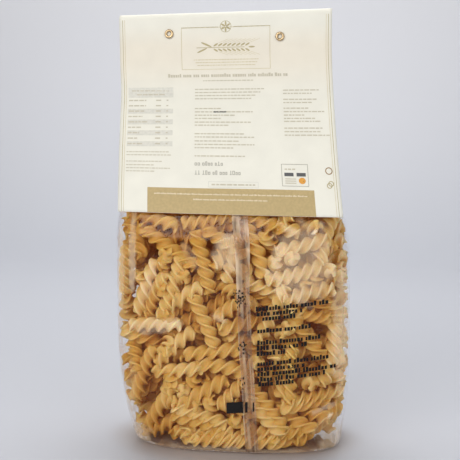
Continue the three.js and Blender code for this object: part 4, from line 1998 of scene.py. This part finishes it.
@dataclass
class FilmPrint:
    """The lap seam down the film and what is stamped on the film beside it."""

    form: BagForm
    skin: BVHTree
    outside: float = 60.0
    seam_shift: float = 7.9
    seam_lean: float = 3.8
    lean_height: float = 150.0
    seam_half: float = 3.6
    seam_widening: float = 0.9
    seam_foot: float = 1.5
    seam_top: float = 204.0
    seam_columns: int = 12
    seam_rows: int = 260
    seam_lift: float = 0.35
    seam_wander: float = 0.35
    seam_crimp: float = 0.22
    seam_curl: float = 0.3
    stamp_lift: float = 0.08
    seam_stamp_lift: float = 0.95
    tilt: float = 6.4
    seed: int = 21

    def on_film(self, x: Array, z: Array, face: Face, lift: Array) -> Array:
        """Points just over the film, found by looking straight at one broad face.

        Args:
            x: places along X.
            z: the heights there.
            face: the face.
            lift: how far over the film.

        Returns:
            The points.
        """
        points = np.empty((len(x), 3))
        lift = np.broadcast_to(lift, x.shape)
        way = Vector((0, -face.value, 0))
        for k, (across, up) in enumerate(zip(x, z)):
            spot, out, _, _ = self.skin.ray_cast(Vector((across, self.outside * face.value, up)), way)
            if spot is None:
                spot, out = Vector((across, 0, up)), -way
            out = out if out.dot(way) < 0 else -out
            points[k] = spot + out * lift[k]
        return points

    def seam_middle(self, z: Array) -> Array:
        """Where the seam's middle stands along X at height z."""
        lean = self.seam_lean * np.clip(1 - z / self.lean_height, 0, 1)
        return self.form.middle(z) + self.seam_shift + lean

    def seam(self) -> None:
        """The lap seam: a second thickness of film with a crinkled free edge."""
        rng = np.random.default_rng(self.seed)
        columns, rows = self.seam_columns, self.seam_rows
        wander = soft_noise((rows + 1, 4), (14, 4), rng)[:, 0]
        crimp = soft_noise((rows + 1, columns + 1), (60, 5), rng)

        def place(across: Array, up: Array) -> Array:
            row = np.round(up * rows).astype(int)
            column = np.round(across * columns).astype(int)
            z = self.seam_foot + (self.seam_top - self.seam_foot) * up
            half = self.seam_half + self.seam_widening * smoothstep(z, 90, 135)
            off = across * 2 - 1
            x = self.seam_middle(z) + self.seam_wander * wander[row] + off * half
            lift = self.seam_lift + self.seam_crimp * crimp[row, column] + self.seam_curl * off**2
            return self.on_film(x, z, Face.SHOWN, lift)

        mesh = sheet_mesh("film_seam", columns, rows, place)
        height = corners(mesh)[:, 2] / MM
        across = np.tile(np.linspace(-1, 1, columns + 1), rows + 1)
        threads = rng.uniform(0, 1, columns + 1)[np.round((across + 1) / 2 * columns).astype(int)]
        write_values(mesh, VEIL_AND_SHEEN, self.seam_haze_and_highlights(height, across, threads))
        finish = FilmFinish("film_seam", veil_and_sheen=0.0, veil_patches=0.08, gloss=0.7, roughness=0.16,
                            tint=(0.72, 0.62, 0.57))
        stand_piece("film_seam", mesh, finish.material())

    def seam_haze_and_highlights(self, height: Array, across: Array, threads: Array) -> Array:
        """How milky the seam is: its edges and some threads of it, with wisps higher up, partly painted
        highlights.

        Args:
            height: the height of each point.
            across: where it lies from -1 to 1 across the seam.
            threads: a draw from 0 to 1 for its column.

        Returns:
            A value for each point.
        """
        edges = 0.18 * (np.abs(across) > 0.8) + 0.27 * (threads > 0.68)
        patchy = np.clip(0.62 + 0.6 * np.sin(height * 0.21 + 2 * across) * np.sin(height * 0.057 + 1), 0, 1)
        wisps = np.clip(0.5 + 0.9 * np.sin(height * 0.33 + 3 * across) * np.sin(height * 0.11 + 2), 0, 1)
        # Painted highlights: paler wisps on the upper seam and a pale line down its left edge.
        pale = smoothstep(height, 78, 92) * (0.05 + 0.26 * wisps * (np.abs(across) > 0.6))
        pale += 0.22 * smoothstep(height, 84, 90) * (1 - smoothstep(height, 104, 122)) * (across < -0.5)
        return edges * patchy + pale

    def stamps(self) -> None:
        """Rows of black dashes beside the seam, a black block on it and stray marks."""
        rng = np.random.default_rng(self.seed + 1)
        sheet = Printing(Ink.BLACK, cell=1.6)
        rows = [
            (16.2, 81.2, 55.8), (16.8, 78.3, 41.5), (19.8, 75.6, 37.8), (17.1, 68.9, 47.2),
            (17.1, 62.3, 51.4), (16.8, 59.2, 43.4), (16.8, 56.2, 32.6), (17.2, 50.6, 55.0),
            (17.2, 47.7, 43.1), (17.2, 44.8, 60.0), (17.2, 41.9, 53.4), (17.8, 39.2, 36.4),
        ]
        for left, base, right in rows:
            sheet.letters(left, base, right, 1.95, rng)
        sheet.bar(0.2, 25.2, 9.7, 31.5)
        sheet.bar(10.6, 25.3, 12.0, 31.2)
        sheet.bar(14.9, 25.6, 15.7, 30.8)
        clusters = (7.0, 88.5, 1.5, 2.3, 40), (9.0, 62.5, 2.0, 1.6, 14), (9.0, 41.0, 1.2, 2.0, 6)
        for x, z, wide, tall, count in clusters:
            for _ in range(count):
                left, low = rng.normal(x, wide), rng.normal(z, tall)
                sheet.bar(left, low, left + rng.uniform(0.3, 1.2), low + rng.uniform(0.3, 1.3))
        rise = math.tan(math.radians(self.tilt))

        def place(x: Array, z: Array) -> Array:
            up = z + (x - 17.0) * rise
            on_seam = np.abs(x - self.seam_middle(up)) < self.seam_half + 0.6
            return self.on_film(x, up, Face.SHOWN, np.where(on_seam, self.seam_stamp_lift, self.stamp_lift))

        sheet.lay("film_stamp", place, "film", shine=0.15)


@dataclass
class Eyelets:
    """The two small brass rings through the card."""

    form: CardForm
    rise: float = 0.9
    sink: float = 0.25
    section_points: int = 14
    flange: float = 2.6
    bore: float = 1.15
    steps: int = 40

    def build(self) -> None:
        """Builds a ring on each face for each of the two eyelets."""
        finish = BrassFinish().material()
        for node in ("eyelet_left", "eyelet_right"):
            low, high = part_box(node)
            middle = (low + high) / 2 / MM
            mesh = bpy.data.meshes.new(node + "_ring")
            bm = bmesh.new()
            for face in Face:
                self.ring(bm, middle.x, middle.z, face, high.y / MM)
            bm.to_mesh(mesh)
            bm.free()
            mesh.transform(Matrix.Scale(MM, 4))
            piece = stand_piece(node + "_ring", mesh, finish)
            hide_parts(node)

    def ring(self, bm: bmesh.types.BMesh, x: float, z: float, face: Face, reach: float) -> None:
        """One rolled flange, spun from its section, seated on the card.

        Args:
            bm: the eyelet's mesh.
            x: the eyelet's middle along X.
            z: its height.
            face: the card's face.
            reach: how far the eyelet reaches along Y.
        """
        seat = reach - self.rise - self.sink
        middle, half = (self.flange + self.bore) / 2, (self.flange - self.bore) / 2
        profile = bmesh.ops.create_circle(bm, segments=self.section_points, radius=1.0)["verts"]
        for vertex in profile:
            across, up = vertex.co.x, vertex.co.y
            vertex.co = (middle + half * across, 0, seat + self.rise * (0.45 + 0.5 * up))
        edges = list({edge for vertex in profile for edge in vertex.link_edges})
        bmesh.ops.spin(bm, geom=profile + edges, cent=(0, 0, 0), axis=(0, 0, 1), dvec=(0, 0, 0),
                       angle=2 * math.pi, steps=self.steps, use_merge=True)
        fresh = [vertex for vertex in bm.verts if not vertex.tag]
        turn = Matrix.Rotation(math.radians(-90 * face.value), 4, "X")
        bmesh.ops.transform(bm, matrix=Matrix.Translation((x, 0, z)) @ turn, verts=fresh)
        for vertex in fresh:
            vertex.tag = True
        bmesh.ops.recalc_face_normals(bm, faces=bm.faces)


@dataclass(frozen=True)
class Studio:
    """Camera, ground and lights."""

    azimuth: float = 7.0
    elevation: float = 4.0
    distance: float = 500.0
    focal_pixels: float = 845.0
    frame_pixels: float = 460.0
    sensor: float = 36.0
    aim: tuple[float, float, float] = (-2.8, 0.0, 123.1)
    roll: float = 0.2
    floor_front: float = -1500.0
    floor_length: float = 4300.0
    floor_width: float = 5000.0
    floor_gap: float = 0.15
    bend_start: float = 900.0
    bend_length: float = 900.0
    bend_radius: float = 573.0

    def build(self) -> None:
        """Sets up the camera, the ground and the lights."""
        bpy.context.scene.view_settings.view_transform = "Standard"
        self.camera()
        self.ground()
        self.lights()

    def camera(self) -> None:
        """The camera at the photograph's viewing angle."""
        data = bpy.data.cameras.new("camera")
        data.sensor_width = self.sensor
        data.lens = self.sensor * self.focal_pixels / self.frame_pixels
        data.clip_start = 0.01
        camera = linked("camera", data)
        turn, rise = math.radians(self.azimuth), math.radians(self.elevation)
        back = Vector((math.sin(turn) * math.cos(rise), -math.cos(turn) * math.cos(rise), math.sin(rise)))
        aim = Matrix.Translation((Vector(self.aim) + back * self.distance) * MM)
        look = back.to_track_quat("Z", "Y").to_matrix().to_4x4()
        camera.matrix_world = aim @ look @ Matrix.Rotation(math.radians(self.roll), 4, "Z")
        bpy.context.scene.camera = camera

    def ground(self) -> None:
        """A floor that curves up into a backdrop, out of one bent sheet."""
        def place(across: Array, along: Array) -> Array:
            run = self.floor_front + along * self.floor_length
            bend = np.clip((run - self.bend_start) / self.bend_length, 0, 1) * math.pi / 2
            y = np.minimum(run, self.bend_start) + self.bend_radius * np.sin(bend)
            above = np.maximum(run - self.bend_start - self.bend_length, 0)
            z = self.bend_radius * (1 - np.cos(bend)) + above
            return np.stack([(across - 0.5) * self.floor_width, y, z - self.floor_gap], 1)

        mesh = sheet_mesh("stage", 4, 60, place)
        stage = linked("stage", mesh)
        mesh.materials.append(StageFinish().material())
        mesh.shade_smooth()

    def lights(self) -> None:
        """Soft boxes over and beside the packet, one on the backdrop, and a pale surround."""
        self.soft_box("key", (-480, -1150, 650), 1000, 800, 11.0, (1.0, 0.985, 0.96))
        self.soft_box("fill", (850, -950, 450), 800, 800, 4.6, (0.96, 0.98, 1.0))
        self.soft_box("top", (0, 300, 1200), 1000, 800, 8.5, WHITE)
        self.soft_box("wall", (-260, 1100, 1500), 1800, 600, 12.0, WHITE, Vector((-260, 1450, 560)))
        world = bpy.data.worlds.new("surround")
        world.use_nodes = True
        background = world.node_tree.nodes["Background"]
        background.inputs["Color"].default_value = (0.90, 0.90, 0.93, 1)
        background.inputs["Strength"].default_value = 0.16
        bpy.context.scene.world = world

    def soft_box(self, name: str, place: tuple[float, float, float], wide: float, tall: float,
                 power: float, colour: Colour, aim: Vector = Vector((0, 0, 110))) -> None:
        """An area light that looks at aim, which is the packet's middle where none is given.

        Args:
            name: its name.
            place: its middle.
            wide: its width.
            tall: its height.
            power: its power in watts.
            colour: its colour.
            aim: the point that it looks at.
        """
        data = bpy.data.lights.new(name, "AREA")
        data.shape = "RECTANGLE"
        data.size, data.size_y = wide * MM, tall * MM
        data.energy = power
        data.color = colour
        light = linked(name, data)
        look = (Vector(place) - aim).to_track_quat("Z", "Y").to_matrix().to_4x4()
        light.matrix_world = Matrix.Translation(Vector(place) * MM) @ look


def main() -> None:
    """Builds the packet's looks in order."""
    logging.basicConfig(level=logging.INFO, format="%(name)s: %(message)s")
    Studio().build()
    form = BagForm()
    contents = PastaFill(form)
    contents.build()
    bag = FilmBag(form)
    bag.build(contents)
    stamp = FilmPrint(form, bag.tree())
    stamp.seam()
    stamp.stamps()
    card = CardForm(form)
    CardHeader(card).build()
    Eyelets(card).build()


if __name__ == "__main__":
    main()
